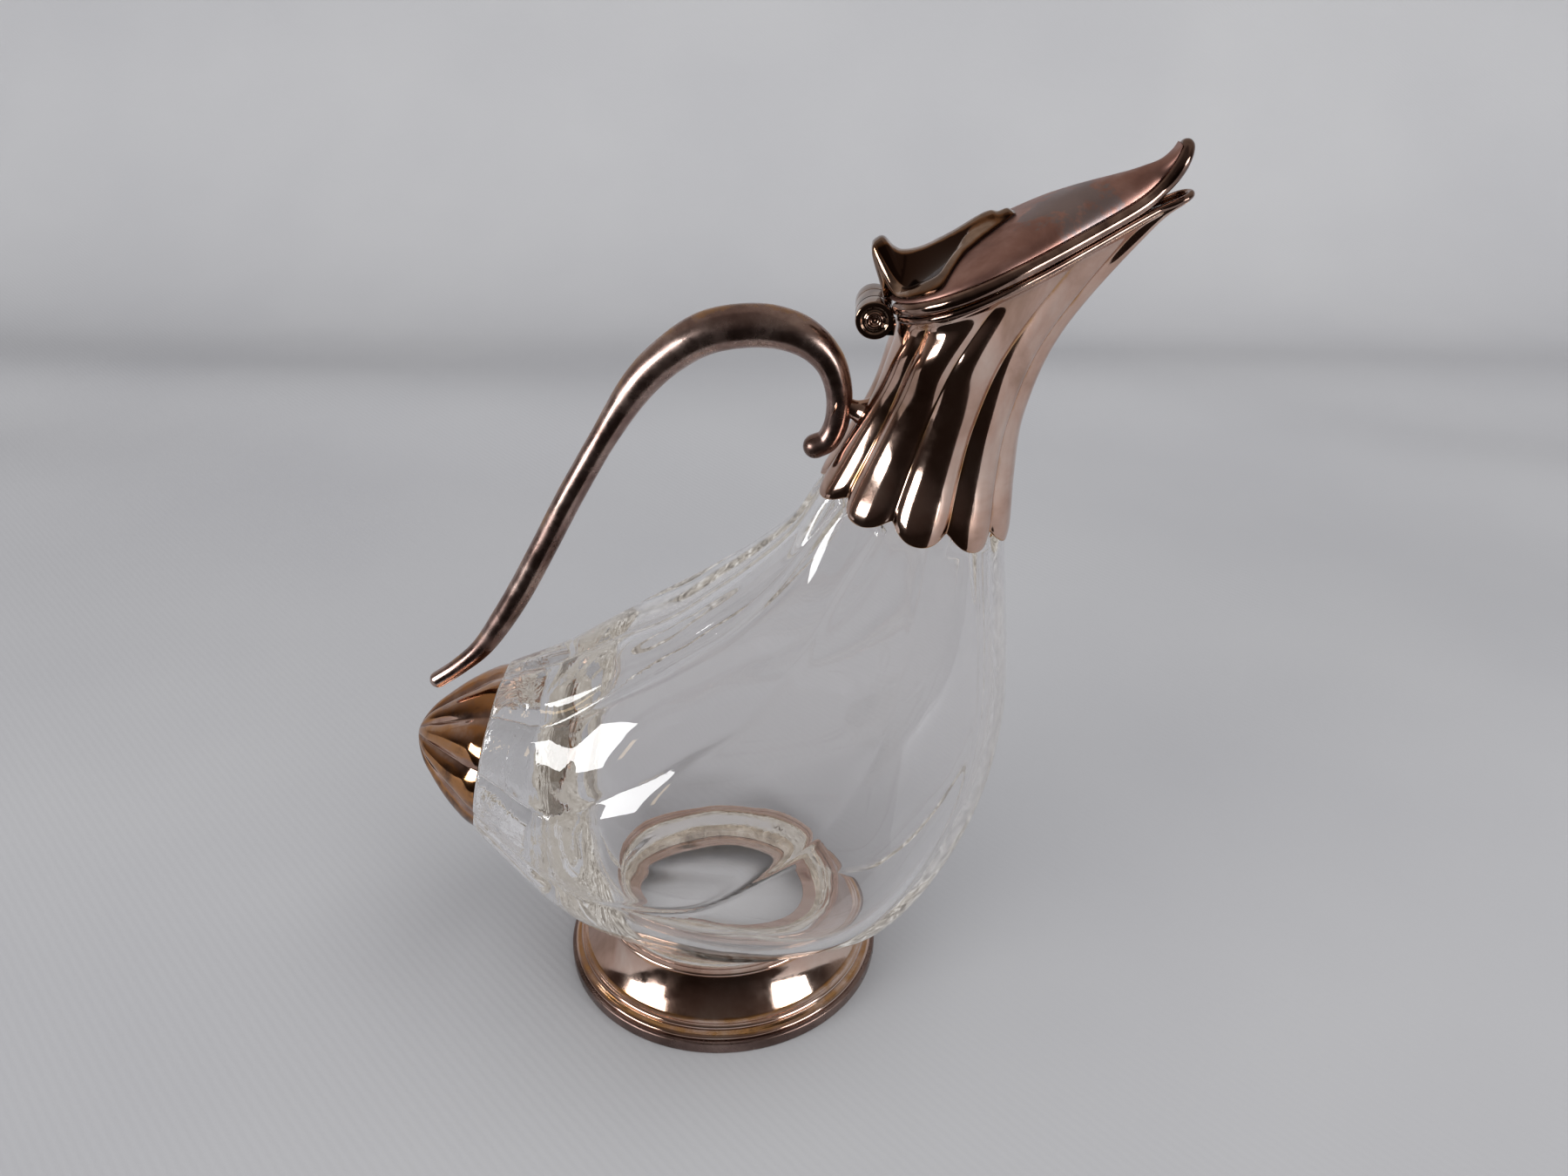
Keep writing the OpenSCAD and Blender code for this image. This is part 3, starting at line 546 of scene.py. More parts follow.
def glassGrid():
    # outside from the tail's face to the top of the neck, and back down the inside
    g = glassSizes
    angle = turns(g["columns"])
    t = np.linspace(0, bodyEnd, g["rows"])
    lobed = {"soft": g["soft"], "crown": g["crown"]}
    hollowed = {"soft": g["hollowSoft"], "crown": g["crown"]}

    def leanAt(t):
        return (g["lean"] * smoothStep(t, 0.06, 0.48) * (1 - smoothStep(t, 0.74, 0.97)))[:, None]

    outer = section(alongRows(bodyRows, t)[:, None], angle[None], lean=leanAt(t), **lobed)
    face = [section(alongRows(bodyRows, np.array([0.0]))[:, None], angle[None], inset, **lobed)
            for inset in (2.0, 1.0, 0.35)]
    tNeck = np.linspace(0.0, g["neckTop"], 26)[1:]
    neck = section(alongRows(collarRows, tNeck)[:, None], angle[None],
                   neckInsetAt(tNeck)[:, None], **lobed)
    outside = pullToStub(aboveFoot(np.concatenate(face + [outer, neck])),
                         jug["footHeight"] - jug["stubDrop"], g["stubRadius"],
                         jug["footHeight"] + 0.8)
    outerMark = np.concatenate([[1, 1, 1], np.exp(-(t / 0.085) ** 2), 0 * tNeck])

    # the inside opens like a dome in the thick tail, where it is wrinkled
    thinRows, thinCollar = bodyRows.copy(), collarRows.copy()
    thinRows[:, 5] *= g["hollowCrease"]
    thinCollar[:, 5] *= g["throatCrease"]
    start = g["tailSolid"] / g["length"]
    a = np.linspace(0.04, np.pi / 2, 18)
    dome, rows = 0.22, 90
    f = np.concatenate([dome * (1 - np.cos(a)), np.linspace(dome, 1, rows)[1:]])
    shrink = np.concatenate([np.sin(a) ** 0.75, np.ones(rows - 1)])
    t = start + (bodyEnd - start) * f
    fade = np.exp(-((t - start) / 0.08) ** 2)[:, None]
    wrinkle = (np.sin(9 * angle + 2.1)[None] * np.sin(70 * t + 1)[:, None]
               + 0.7 * np.sin(17 * angle[None] + 40 * t[:, None])
               + 0.5 * np.sin(29 * angle[None] - 90 * t[:, None] + 2))
    hollow = section(alongRows(thinRows, t)[:, None], angle[None],
                     g["wall"] + g["wrinkle"] * fade * wrinkle, shrink[:, None],
                     lean=leanAt(t), **hollowed)
    tThroat = np.linspace(0.02, g["neckTop"], 20)
    throat = section(alongRows(thinCollar, tThroat)[:, None], angle[None],
                     neckInsetAt(tThroat)[:, None] + g["wall"] * 0.8, **hollowed)
    inside = aboveFoot(np.concatenate([hollow, throat]))
    innerMark = np.concatenate([fade[:, 0], 0 * tThroat])
    return (np.concatenate([outside, inside[::-1]]),
            np.concatenate([outerMark, innerMark[::-1]])[:, None])


grid, mark = glassGrid()
glassLook = (clearGlass("blownLeadGlass"), "glass_body", "jug", "clear_glass")
glassBody = surface("glassBody", grid, glassLook, mark=mark)
print("glass body made")

collarSizes = {
    "length": 70.0,
    "scallopDrop": 3.0,
    "sheet": jug["sheet"],
    "edgeCurl": 0.8,        # how far the lower edge curls in
    "curlHeight": 2.2,
    "crown": 1.35,
    "rows": 110,
    "columns": 480,
}


def collarGrid():
    # the section swept from the scalloped edge to the mouth, outside, and back inside
    c = collarSizes
    angle = turns(c["columns"])
    drop = c["scallopDrop"] / (collarRows[1, 1] - collarRows[0, 1]) / (len(collarRows) - 1)
    start = drop * (1 - swell(angle, 0.02) ** 0.7)
    a = np.radians(np.arange(15, 166, 15))
    half = c["sheet"] / 2
    edge = np.sin(a) * half / c["length"]
    out = np.linspace(0, 1, c["rows"]) ** 1.15
    back = out[::-2]
    curl, curlBack = (c["edgeCurl"] * np.exp(-f * c["length"] / c["curlHeight"])
                      for f in (out, back))
    path = np.concatenate([
        np.stack([out, curl], -1),
        np.stack([1 + edge, half - half * np.cos(a)], -1),
        np.stack([back, c["sheet"] + curlBack], -1),
        np.stack([-edge, half - half * np.cos(a) + c["edgeCurl"]], -1)[::-1]])
    t = start[None] * (1 - np.clip(path[:, :1], 0, 1)) + path[:, :1]
    # golden in the creases outside and all over inside
    outside = np.arange(len(path))[:, None] < c["rows"]
    mark = np.where(outside, 0.36 * (1 - swell(angle, 0.05)[None]) ** 4, 0.4)
    return aboveFoot(section(alongRows(collarRows, t), angle[None] + 0 * t,
                             path[:, 1:] + 0 * t, soft=0.03, crown=c["crown"])), mark


grid, mark = collarGrid()
spoutCollar = surface("spoutCollar", grid, (plate, "spout_collar"), closeRows=True, mark=mark)

spoutWire = {"radius": 0.9, "reach": -0.08, "sides": 20}


def mouthWire(wire, lift):
    # path and radii of a wire round the mouth, open at the hinge, at lift(x) above its plane;
    # reach is how far it runs past the mouth's front end
    first = math.asin((jug["barrelLength"] / 2 + wire["radius"] + 0.4) / (1.9 * jug["mouthWidth"]))
    angle = np.linspace(first, 2 * math.pi - first, 220)
    half = (jug["mouthLength"] + wire["reach"]) / 2
    x = half * (1 - np.cos(angle))
    y = -beakHalf(angle, half, jug["mouthWidth"], jug["mouthTaper"], jug["beakTip"])
    return onMouth(np.stack([x, y, lift(x)], -1)), np.full(len(x), wire["radius"])


tube("spoutRimWire", *mouthWire(spoutWire, lambda x: 0 * x + spoutWire["radius"] + jug["seat"]),
     (wirePlate, "spout_rim_wire"), spoutWire["sides"])
print("collar made")

lidWire = {"radius": 1.7, "reach": 1.9, "sides": 24}
lidSizes = {
    "gap": 0.3,             # between the lid's wire and the spout's
    "tipRise": 8.05,
    "tipPower": 3.6,
    "crest": 7.3,
    "sheet": jug["sheet"],
    "lengthRows": 150,
    "acrossRows": 90,
}
thumbSizes = {
    "hornHeight": 14.2,
    "hornAt": 1.5,
    "hornHalf": 1.3,        # more half width where the horn stands
    "ridgeHalf": 1.6,
    "border": 5.8,          # width of the leaf's rolled border
    "borderRise": 0.95,
    "seat": 0.36,           # above the lid
    "black": 1.05,
}
# height along the lid, the ridge's side view, and the leaf's and flanks' half widths along it
crestRows = [[0, 0.05], [0.13, 0.42], [0.28, 0.72], [0.45, 0.9], [0.55, 1.0], [0.61, 1.0],
             [0.69, 0.95], [0.79, 0.82], [0.87, 0.62], [0.94, 0.28], [1, 0]]
ridgeRows = [[-0.7, 0.25], [-0.2, 0.72], [0.7, 0.93], [2.2, 1.0], [4.2, 0.98], [5.6, 0.76],
             [7.6, 0.63], [12.5, 0.565], [20, 0.61], [27, 0.7], [30.2, 0.705], [31.8, 0.64],
             [34.2, 0.63], [35.6, 0.48]]
leafRows = [[-2, 6], [2, 12], [5, 22], [8, 28], [11, 27], [14, 22], [17, 16.5], [20, 12.2],
            [23, 9.4], [26, 7.4], [29, 5.6], [32, 3.8], [36, 1.6]]
flankRows = [[-2, 5], [2, 8], [8, 11], [14, 10], [20, 7], [28, 4], [36, 1]]
lidLength = jug["mouthLength"] + lidWire["reach"]
wireMid = jug["seat"] + 2 * spoutWire["radius"] + lidSizes["gap"] + lidWire["radius"]
liftFrom = 0.7 * lidLength


def tipShare(u):
    # 0 up to where the beak's tip begins to lift, 1 at the tip
    return np.maximum(0, (u - liftFrom) / (lidLength - liftFrom))


def tipLift(u):
    return lidSizes["tipRise"] * tipShare(u) ** lidSizes["tipPower"]


def edgeZ(u):
    # top of the lid's wire, which is taller where it slopes
    power = lidSizes["tipPower"]
    slope = power / (lidLength - liftFrom) * lidSizes["tipRise"] * tipShare(u) ** (power - 1)
    return wireMid + tipLift(u) + lidWire["radius"] * np.hypot(1, slope) + jug["seat"]


def crest(u):
    return lidSizes["crest"] * atX(crestRows, u / lidLength)


def halfAt(u):
    f = np.clip(u / lidLength, 0, 1)
    return beakHalf(np.arccos(1 - 2 * f), lidLength / 2, jug["mouthWidth"], jug["mouthTaper"],
                    jug["beakTip"])


def lidZ(u, y):
    # half an ellipse over each place along the lid
    share = np.minimum(1, np.abs(y) / np.maximum(halfAt(u), 1e-6))
    return edgeZ(u) + crest(u) * np.sqrt(1 - share ** 2)


def lidGrid():
    # shell: over the top from edge to edge and back underneath, a closed loop at each place
    c = np.radians(np.linspace(10, 165, lidSizes["lengthRows"]))
    u = (lidLength / 2 * (1 - np.cos(c)))[:, None]
    b = np.linspace(0, np.pi, lidSizes["acrossRows"])[None]
    w, h = halfAt(u), crest(u)
    over = np.stack([u + 0 * b, -w * np.cos(b), edgeZ(u) + np.maximum(0.1, h) * np.sin(b)], -1)
    w = w - lidSizes["sheet"] * np.minimum(1, w / 6)
    h = np.maximum(0.1, h - lidSizes["sheet"])
    under = np.stack([u + 0 * b, -w * np.cos(b), edgeZ(u) - 0.01 + h * np.sin(b)], -1)
    return (onMouth(np.concatenate([over, under[:, ::-1]], 1)),
            np.concatenate([0 * over[..., 0], 0 * under[..., 0] + 0.4], 1))


grid, mark = lidGrid()
surface("lidShell", grid, (lidPlate, "lid_shell", "lid"), mark=mark)
tube("lidRimWire", *mouthWire(lidWire, lambda x: wireMid + tipLift(x)),
     (wirePlate, "lid_rim_wire", "lid"), lidWire["sides"])


def thumbGrid():
    # across each place along the ridge the flank falls in a hollow curve, height = leaf +
    # (ridge - leaf) (1 - y / flank) ^ 1.9, and runs out in a leaf with a raised border
    g = thumbSizes
    ridge = alongRows(ridgeRows, np.linspace(0.012, 0.995, 220))
    u, top = ridge[:, :1], ridge[:, 1:] * g["hornHeight"] + edgeZ(0.0)
    half = g["ridgeHalf"] + g["hornHalf"] * np.exp(-((u - g["hornAt"]) / 3.5) ** 2)
    # the leaf ends inside the lid's edge, by a smooth minimum
    leaf, most = atX(leafRows, u), np.maximum(4, halfAt(np.maximum(u, 1)) - 0.4)
    leaf = (leaf + most - np.sqrt((leaf - most) ** 2 + 9)) / 2
    f = np.linspace(-1, 1, 201)[None]
    inner = 0.25  # share of the points across that lies on the ridge
    y = np.sign(f) * np.where(np.abs(f) < inner, np.abs(f) / inner * half,
                              half + np.maximum(0.1, leaf - half)
                              * (np.abs(f) - inner) / (1 - inner))
    base = lidZ(np.maximum(u, 1), y) + g["seat"]
    d = np.abs(y) - half
    past = 0.5 * (d + np.sqrt(d * d + 0.4)) + 0.02
    fall = np.maximum(0, 1 - past / atX(flankRows, u)) ** 1.9
    inwards = (leaf - np.abs(y)) / g["border"] * 2
    border = np.where(inwards < 2, np.sqrt(np.maximum(0, 1 - (inwards - 1) ** 2)), 0)
    border = border * np.clip(leaf / 4, 0, 1) * np.clip(np.abs(y) / 3 - 0.5, 0, 1)
    over = base + 0.12 + g["borderRise"] * border + np.maximum(0, top - base - 0.4) * fall
    upper = np.stack([u + 0 * y, y, over], -1)
    lower = np.stack([u + 0 * y, y, base], -1)
    # black in the hollow flanks, rubbed clean on the border, the ridge and the horn
    black = g["black"] * (1 - border) * smoothStep(d, -0.6, 1.2) * smoothStep(u, -2, 1)
    return (onMouth(np.concatenate([upper, lower[:, ::-1]], 1)),
            np.concatenate([black, 0 * black], 1))


grid, mark = thumbGrid()
surface("thumbPiece", grid, (castPlate, "thumbpiece", "lid", "silver_plate_dark"), mark=mark)
dressNode("lid_knuckle", castPlate)
print("lid made")

# The handle's middle line as (x, z, radius), from the scroll under the loop to the free end.
handleSizes = {"rings": 320, "sides": 64, "mark": 0.3}
handleRows = np.array([
    [28.4, 154.6, 3.3], [31.8, 156.6, 3.2], [34.2, 162.5, 3.3], [34.3, 171, 3.6],
    [31.3, 179, 4.2], [24.4, 185, 5.1], [14, 187.4, 5.6], [1, 185.6, 5.6],
    [-9.5, 179.5, 5.1], [-18.8, 170.4, 4.6], [-28.5, 156, 3.7], [-39, 138.5, 3.7],
    [-47, 124, 3.7], [-55, 109.8, 3.7], [-62.5, 98, 3.5], [-69.5, 88.6, 3.0],
    [-77, 81.9, 2.6], [-84.2, 76.8, 2.5]])


def handleMark(angle):
    # tarnish on the side that the hand doesn't rub
    return handleSizes["mark"] * np.maximum(0, -np.sin(angle)) ** 3


p = alongRows(handleRows, np.linspace(0, 1, handleSizes["rings"]))
tube("loopHandle", aboveFoot(np.stack([p[:, 0], 0 * p[:, 0], p[:, 1]], -1)), p[:, 2],
     (handlePlate, "handle"), handleSizes["sides"], handleMark)

# The saddle between the handle and the collar, as (distance from its middle, radius).
lugSizes = {"middle": (37.4, 165.6), "lean": math.radians(20), "flat": 0.8, "core": 0.02}
lugRows = [[-4.2, 4.6], [-3.4, 3.9], [-1.8, 2.9], [0, 2.5], [1.6, 2.8], [3.0, 3.7], [4.4, 5.0]]
lugEnds = (lugRows[0][0], lugRows[-1][0])


def alongLug(grid):
    # turned piece laid from the handle to the collar, flattened across the jug
    c, s = math.cos(lugSizes["lean"]), math.sin(lugSizes["lean"])
    x, z = lugSizes["middle"]
    return aboveFoot(np.stack([x + c * grid[..., 2] + s * grid[..., 0],
                               lugSizes["flat"] * grid[..., 1],
                               z - s * grid[..., 2] + c * grid[..., 0]], -1))


outline = np.array([[lugSizes["core"], lugEnds[0]]]
                   + [[atX(lugRows, v), v] for v in np.linspace(*lugEnds, 40)]
                   + [[lugSizes["core"], lugEnds[1]]])
lathe("handleLug", outline, (plate, "handle_lug"), 96, alongLug)
print("handle made")

# The tail's cap, its profile as shares of the depth, the radius and the crease.
capSizes = {"radius": 26.0, "depth": 24.0, "crease": 2.6, "rings": 90, "columns": 480}
capProfile = np.array([[0, 1, 0.35], [0.15, 0.94, 0.6], [0.32, 0.83, 0.9], [0.5, 0.69, 1],
                       [0.68, 0.52, 0.9], [0.84, 0.35, 0.6], [0.95, 0.17, 0.3], [1, 0.03, 0.1]])
tailTop, tailLow = np.array(jug["tailTop"]), np.array(jug["tailLow"])
tailMiddle = (tailTop + tailLow) / 2
tailUp = (tailTop - tailLow) / np.linalg.norm(tailTop - tailLow)
tailAxis = np.array([-tailUp[1], tailUp[0]])


def capRings(t, inset, start):
    # rings of the dome: radius r(t) less a crease, centred on the tail's axis at start + depth
    p = alongRows(capProfile, t)
    angle = turns(capSizes["columns"])
    r = (capSizes["radius"] - inset) * p[:, 1:2]
    r = r - capSizes["crease"] * p[:, 2:3] * (1 - swell(angle, 0.05)[None]) * np.clip(r / 6, 0, 1)
    c = tailMiddle + tailAxis * (start + p[:, 0:1] * (capSizes["depth"] - inset))
    return np.stack([c[:, :1] + tailUp[0] * r * np.cos(angle), r * np.sin(angle),
                     c[:, 1:] + tailUp[1] * r * np.cos(angle)], -1)


def capTarnishAndPaintedShade():
    # tarnish, golden in the flutes' creases and dark on their backs, with painted shade making the
    # backs darker below
    angle = turns(capSizes["columns"])
    return 0.12 + smoothStep(swell(angle, 0.06), 0.15, 0.6) * (0.48 - 0.18 * np.cos(angle))


t = np.linspace(0, 1, capSizes["rings"])
grid = aboveFoot(np.concatenate([capRings(t, 0, jug["seat"])[::-1],
                                 capRings(t[::-2], jug["sheet"], 0)[::-1]]))
surface("tailCap", grid, (capPlate, "tail_cap"), mark=capTarnishAndPaintedShade())
print("tail cap made")

foot = {
    "radius": 50.0,
    "band": 4.2,            # height of the plain band
    "bandWidth": 4.0,
    "bead": 1.1,
    "beadIn": 4.2,          # from the foot's radius in to the bead's middle
    "beadUp": 2.8,          # from the band up to the bead's middle
    "roll": 0.9,
    "ledgeHole": 29.0,
    "ledgeDrop": 1.4,       # cement and play under the glass stub
}
footR, bandH, rollR = foot["radius"], foot["band"], foot["roll"]
footH, lipR, sheet = jug["footHeight"], jug["lipRadius"], jug["sheet"]
bandIn = footR - foot["bandWidth"]
lathe("footBaseRing", roundCorners([[bandIn, 0], [footR, 0], [footR, bandH], [bandIn, bandH]], 0.8),
      (basePlate, "foot_base_ring", "jug", "silver_plate_dark"))

# the dome: steps from the band up to the bead, then a hollow wall up to the rolled lip
beadRing, beadZ = footR - foot["beadIn"], bandH + foot["beadUp"]
wallTop = footH - 2 * rollR
outside = [[footR - 1.2, bandH + 0.1], [footR - 1.2, bandH + 1], [footR - 2, bandH + 1.7],
           [beadRing + foot["bead"] + 0.2, bandH + 1.9]]
outside += arc((beadRing, beadZ), foot["bead"], np.arange(-40, 101, 14))
outside += [[lipR + (beadRing - lipR) * (0.6 * f + 0.4 * f * f), wallTop + (beadZ - wallTop) * f]
            for f in np.linspace(0.88, 0, 28)]
roll = arc((lipR - 0.1, footH - rollR), rollR, np.arange(-75, 91, 15))
inside = [[min(r - sheet, bandIn - 0.4), max(z - 0.2, bandH + 0.1)] for r, z in outside[::-1]]


def footMark(outline):
    # tarnish gathers in the groove on each side of the bead and under the rolled lip
    z = outline[:, 1]
    grooves = ((beadZ + 1.6, 0.6), (bandH + 1.8, 0.5), (wallTop, 0.8))
    return 0.42 * sum(np.exp(-((z - height) / width) ** 2) for height, width in grooves)


lathe("footDome", roundCorners(outside + roll + [[lipR - sheet, footH]] + inside, 0.25, 3),
      (plate, "foot_dome"), markAt=footMark)
galleryR = lipR - sheet - jug["seat"]
ledgeZ = footH - jug["stubDrop"] - foot["ledgeDrop"] - sheet
lathe("footGallery", roundCorners([
    [galleryR - sheet, footH], [galleryR - sheet, ledgeZ + sheet],
    [foot["ledgeHole"], ledgeZ + sheet], [foot["ledgeHole"], ledgeZ], [galleryR, ledgeZ],
    [galleryR, footH]], 0.3), (plate, "foot_gallery"))
print("foot made")

hingeSizes = {
    "outerFrom": 3.1,       # from the jug's middle to the outer knuckles
    "play": 0.05,
    "columns": 96,
    "leaf": (3.15, 8.6),
}
hingeX, hingeZ = jug["hinge"]


def alongHinge(grid):
    # lathe axis laid along the hinge, its z to the right hand side (-Y)
    return aboveFoot(np.stack([hingeX + grid[..., 0], -grid[..., 2], hingeZ + grid[..., 1]], -1))


def knuckle(name, end, node):
    # a turned sleeve with rounded edges and a fine groove round the pin; end is its side
    r, bore = jug["knuckleRadius"], jug["pinRadius"] + hingeSizes["play"]
    face, back = jug["barrelLength"] / 2 * end, hingeSizes["outerFrom"] * end
    outline = [[bore, back], [r, back], [r, face], [bore + 1.1, face],
               [bore + 0.8, face - 0.35 * end], [bore + 0.35, face - 0.35 * end],
               [bore, face - 0.1 * end]]
    lathe(name, roundCorners(outline, 0.45, 5), (castPlate, node, "jug", "silver_plate_dark"),
          hingeSizes["columns"], alongHinge)


knuckle("hingeKnuckleRight", 1, "hinge_knuckle_right")
knuckle("hingeKnuckleLeft", -1, "hinge_knuckle_left")
# the pin has a dimple in each end: (radius, distance from the middle)
pinEnd = [[0.05, 7.9], [0.9, 7.95], [1.3, 8.45], [1.5, 8.68], [2.0, 8.62],
          [jug["pinRadius"], 8.35]]
outline = [[r, -z] for r, z in pinEnd] + [[r, z] for r, z in pinEnd[::-1]]
lathe("hingePin", roundCorners(outline, 0.15, 3), (plate, "hinge_pin"), hingeSizes["columns"],
      alongHinge)
# a small leaf on each side, from the barrel down to the collar's lip
leafOutline = [[hingeX + 2, hingeZ - 3.6], [mouthBack[0] - 0.5, mouthBack[1] - 3],
               [mouthBack[0] - 0.1, mouthBack[1]], [hingeX + 4.4, hingeZ],
               [hingeX + 3, hingeZ + 1]]
for side, sideName in ((-1, "Right"), (1, "Left")):
    grid = np.array([[[x, side * y, z] for x, z in leafOutline] for y in hingeSizes["leaf"]])
    surface("hingeLeaf" + sideName, aboveFoot(grid),
            (castPlate, None, "jug", "silver_plate_dark"))
print("hinge made")

clothSizes = {
    "frontEdge": -0.1,      # metres; the metal sees the dark room in front of this line
    "rightEdge": (0.84, 0.14),
    "leftEdge": (-4.0, -0.1),
    "bendAt": 0.62,
    "bendRadius": 0.3,
    "wall": 0.35,
    "halfWidth": 2.4,
    "front": -2.6,
    # soft folds, each a smooth ridge along a line: x, y, direction, width, height
    "folds": [(-0.75, 0.25, 20, 0.09, 0.010), (0.6, 0.33, -24, 0.06, 0.008),
              (0.75, 0.05, -20, 0.12, 0.012), (-0.5, -0.1, 70, 0.1, 0.008),
              (0.2, 0.55, 3, 0.08, 0.012), (-0.4, 0.5, -8, 0.07, 0.010)],
}


# Plain white cotton cloth: matt, with a fine diagonal weave that shows only close by.
def paleCloth(name):
    material, tree, shader, position = newMaterial(name)
    # painted shade: broad lighter and darker patches in the cloth's colour stand in for the shading
    # of soft folds
    folds = addNode(tree, "TexNoise", "Fac", {
        "Vector": position, "Scale": 4.0, "Detail": 3.0, "Roughness": 0.5})
    colour = addNode(tree, "ValToRGB", "Color", {"Fac": folds}, [
        (0.3, "#ABABAD"), (0.7, "#B2B2B3")])
    weave = addNode(tree, "TexWave", "Fac", {
        "Vector": position, "Scale": 160.0, "Distortion": 1.5, "Detail": 2.0,
        "Detail Scale": 3.0}, wave_type="BANDS", bands_direction="DIAGONAL")
    bump = addNode(tree, "Bump", "Normal", {
        "Height": weave, "Strength": 0.05, "Distance": 0.0005})
    feed(tree, shader, {"Base Color": colour, "Roughness": 0.9, "Specular IOR Level": 0.2,
                        "Normal": bump})
    # rays mirrored by the metal or the glass pass the cloth in a wedge in front, between
    # x = 0.14 + 0.84 d and x = -0.1 - 4 d, d metres in front of the edge
    parts = addNode(tree, "SeparateXYZ", None, {"Vector": position}).outputs
    ahead = addNode(tree, "Math", "Value", {
        0: clothSizes["frontEdge"], 1: parts["Y"]}, operation="SUBTRACT")
    right, left = (addNode(tree, "Math", "Value", {0: ahead, 1: slope, 2: offset},
                           operation="MULTIPLY_ADD")
                   for slope, offset in (clothSizes["rightEdge"], clothSizes["leftEdge"]))
    missed = lightPath(tree)[1]
    for low, high in ((0.0, ahead), (parts["X"], right), (left, parts["X"])):
        inside = addNode(tree, "Math", "Value", {0: low, 1: high},
                         operation="LESS_THAN")
        missed = addNode(tree, "Math", "Value", {0: missed, 1: inside},
                         operation="MULTIPLY")
    clear = addNode(tree, "BsdfTransparent", "BSDF")
    mixed = addNode(tree, "MixShader", "Shader", {
        0: missed, 1: shader.outputs["BSDF"], 2: clear})
    feed(tree, tree.nodes["Material Output"], {"Surface": mixed})
    return material


def clothGrid():
    # flat on the table, then bent up behind
    c = clothSizes
    bend = c["bendRadius"] * math.pi / 2
    d = np.concatenate([np.linspace(c["front"], c["bendAt"], 220),
                        c["bendAt"] + np.linspace(0, bend, 30)[1:],
                        [c["bendAt"] + bend + c["wall"]]])[:, None]
    past = np.clip((d - c["bendAt"]) / c["bendRadius"], 0, math.pi / 2)
    y = np.minimum(d, c["bendAt"]) + c["bendRadius"] * np.sin(past)
    z = c["bendRadius"] * (1 - np.cos(past)) + np.maximum(0, d - c["bendAt"] - bend)
    x = np.linspace(-c["halfWidth"], c["halfWidth"], 240)[None]
    x, y, z = x + 0 * y, y + 0 * x, z + 0 * x
    clear = smoothStep(np.hypot(x, y), 0.12, 0.3)
    for foldX, foldY, turn, width, height in c["folds"]:
        a = math.radians(turn)
        across = (y - foldY) * math.cos(a) - (x - foldX) * math.sin(a)
        along = (y - foldY) * math.sin(a) + (x - foldX) * math.cos(a)
        z = z + height * clear * np.exp(-(across / width) ** 2 - (along / 0.5) ** 2)
    return np.stack([x, y, z], -1)


grid = clothGrid()
cloth = newObject("cloth", grid.reshape(-1, 3), gridFaces(*grid.shape[:2], False, False),
                  paleCloth("paleCloth"))
print("cloth made")


def lamp(name, azimuth, elevation, distance, size, power, state="EXCLUDE", pieces=(),
         mirrored=True, lighting=True, colour=(1, 1, 1), roll=0):
    # rectangular lamp seen from the jug at an azimuth and elevation in degrees; it leaves the
    # pieces out (EXCLUDE) or is for them alone (INCLUDE), by light linking
    light = bpy.data.lights.new(name, "AREA")
    light.shape = "RECTANGLE"
    light.size, light.size_y = size
    light.energy = power
    light.color = colour
    made = bpy.data.objects.new(name, light)
    bpy.context.scene.collection.objects.link(made)
    a, e = math.radians(azimuth), math.radians(elevation)
    made.location = (distance * math.cos(e) * math.cos(a), distance * math.cos(e) * math.sin(a),
                     0.1 + distance * math.sin(e))
    aim = Euler((math.pi / 2 - e, 0, a + math.pi / 2)).to_matrix()
    made.rotation_euler = (aim @ Matrix.Rotation(math.radians(roll), 3, "Z")).to_euler()
    made.visible_glossy = mirrored
    made.visible_diffuse = lighting
    made.visible_transmission = False
    if pieces:
        group = bpy.data.collections.new(name + "Pieces")
        for piece in pieces:
            group.objects.link(piece)
        for member in group.collection_objects:
            member.light_linking.link_state = state
        made.light_linking.receiver_collection = group


# windows for the metal, and one for the glass alone with the edge of its blind
lamp("windowLeftHigh", -144, 15.2, 2.0, (1.07, 0.33), 15, "EXCLUDE", [glassBody])
lamp("windowLeftLow", -145, 5, 2.0, (0.98, 0.3), 12, "EXCLUDE", [glassBody, spoutCollar])
lamp("windowRight", -34, 8, 2.0, (0.98, 0.56), 17, "EXCLUDE", [glassBody])
lamp("windowSide", 182, 18, 1.6, (0.4, 0.78), 13, "INCLUDE", [glassBody], lighting=False, roll=42)
lamp("windowSideBlind", 194, 24, 1.6, (0.05, 0.4), 0.3, "INCLUDE", [glassBody], lighting=False,
     roll=42, colour=(1.0, 0.75, 0.45))
lamp("overhead", -20, 68, 1.6, (1.6, 1.2), 13, mirrored=False)
# light that comes up through the stub from inside the foot
lamp("insideFoot", 0, 90, -0.07, (0.056, 0.056), 0.024, mirrored=False)


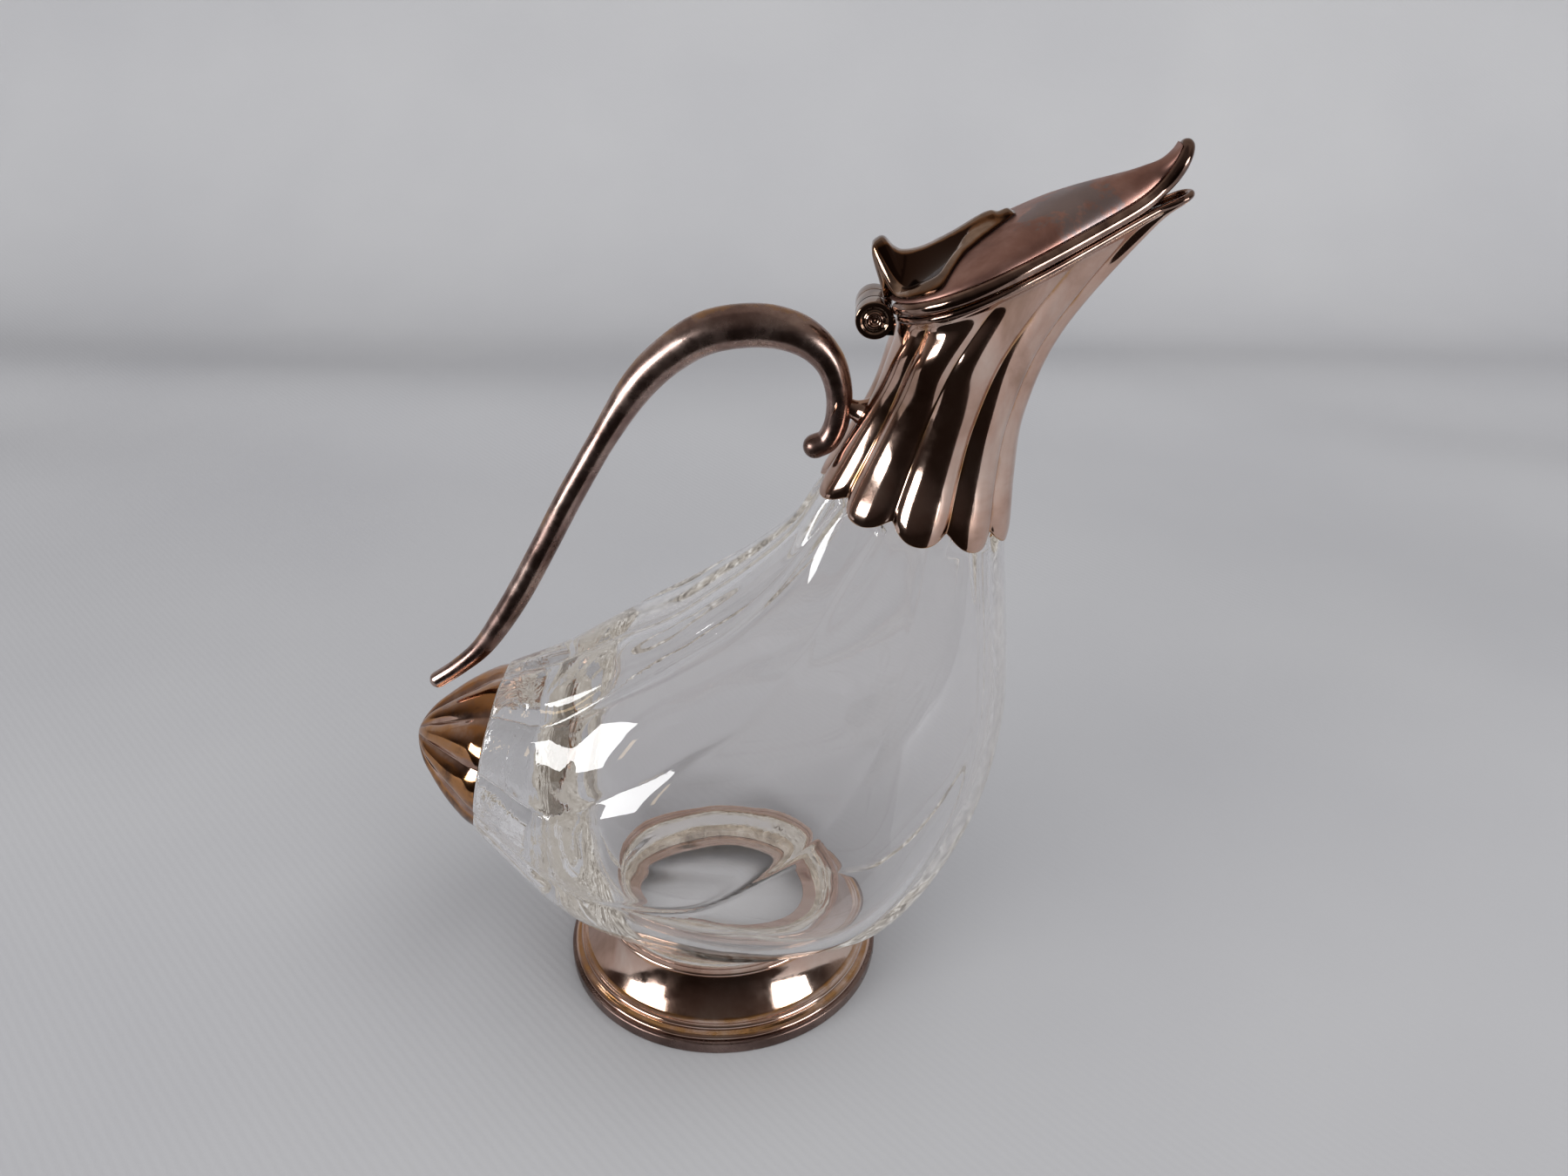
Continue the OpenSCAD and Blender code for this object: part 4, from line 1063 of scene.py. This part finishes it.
def studioWorld():
    # rays that light matt surfaces get plain pale light; the metal mirrors a dark room on the
    # camera's side under a dim ceiling; the camera and the glass see the pale of the cloth
    world = bpy.data.worlds.new("studio")
    bpy.context.scene.world = world
    world.use_nodes = True
    tree = world.node_tree
    direction = addNode(tree, "TexCoord", "Generated")
    parts = addNode(tree, "SeparateXYZ", None, {"Vector": direction}).outputs
    front = addNode(tree, "MapRange", "Result", {
        "Value": parts["Y"], "From Min": 0.45, "From Max": -0.1})
    low = addNode(tree, "MapRange", "Result", {
        "Value": parts["Z"], "From Min": 0.75, "From Max": 0.1, "To Min": 0.2})
    depth = addNode(tree, "Math", "Value", {0: front, 1: low},
                    operation="MULTIPLY")
    room = addNode(tree, "ValToRGB", "Color", {"Fac": depth}, [
        (0.0, "#A0978F"), (1.0, "#352C28"), (0.5, "#756B65")])
    # behind the camera it is darkest, down to the table's edge, and lighter upwards
    level = addNode(tree, "CombineXYZ", "Vector", {"X": parts["X"], "Y": parts["Y"]})
    level = addNode(tree, "VectorMath", "Vector", {0: level}, operation="NORMALIZE")
    near = addNode(tree, "VectorMath", "Value", {0: level, 1: (-0.34, -0.94, 0)},
                   operation="DOT_PRODUCT")
    near = addNode(tree, "MapRange", "Result", {
        "Value": near, "From Min": 0.45, "From Max": 0.72})
    upwards = addNode(tree, "MapRange", "Result", {
        "Value": parts["Z"], "From Min": -0.5, "From Max": 1.0})
    behind = addNode(tree, "ValToRGB", "Color", {"Fac": upwards}, [
        (0.3, "#221C19"), (1.0, "#6F6661"), (0.45, "#3A322F"), (0.7, "#57504B")])
    room = addNode(tree, "Mix", 2, {"Factor": near, 6: room, 7: behind},
                   data_type="RGBA")
    path, mirrored = lightPath(tree)
    seen = addNode(tree, "Math", "Value", {
        0: path["Is Camera Ray"], 1: path["Is Transmission Ray"]}, operation="MAXIMUM")
    plain = addNode(tree, "Mix", 2, {
        "Factor": seen, 6: "#BCBCC0", 7: "#AFADAD"}, data_type="RGBA")
    colour = addNode(tree, "Mix", 2, {"Factor": mirrored, 6: plain, 7: room},
                     data_type="RGBA")
    feed(tree, tree.nodes["Background"], {"Color": colour, "Strength": 1.0})


studioWorld()

lensData = bpy.data.cameras.new("camera")
lensData.lens = 29.0
lensData.sensor_width = 36.0
lensData.clip_start, lensData.clip_end = 0.01, 50
camera = bpy.data.objects.new("camera", lensData)
bpy.context.scene.collection.objects.link(camera)
camera.location = (0.036534, -0.314646, 0.305457)
camera.rotation_euler = (math.radians(90 - 28.681), 0, math.radians(3.0))
bpy.context.scene.camera = camera
bpy.context.scene.view_settings.view_transform = "Standard"

print("scene ready")
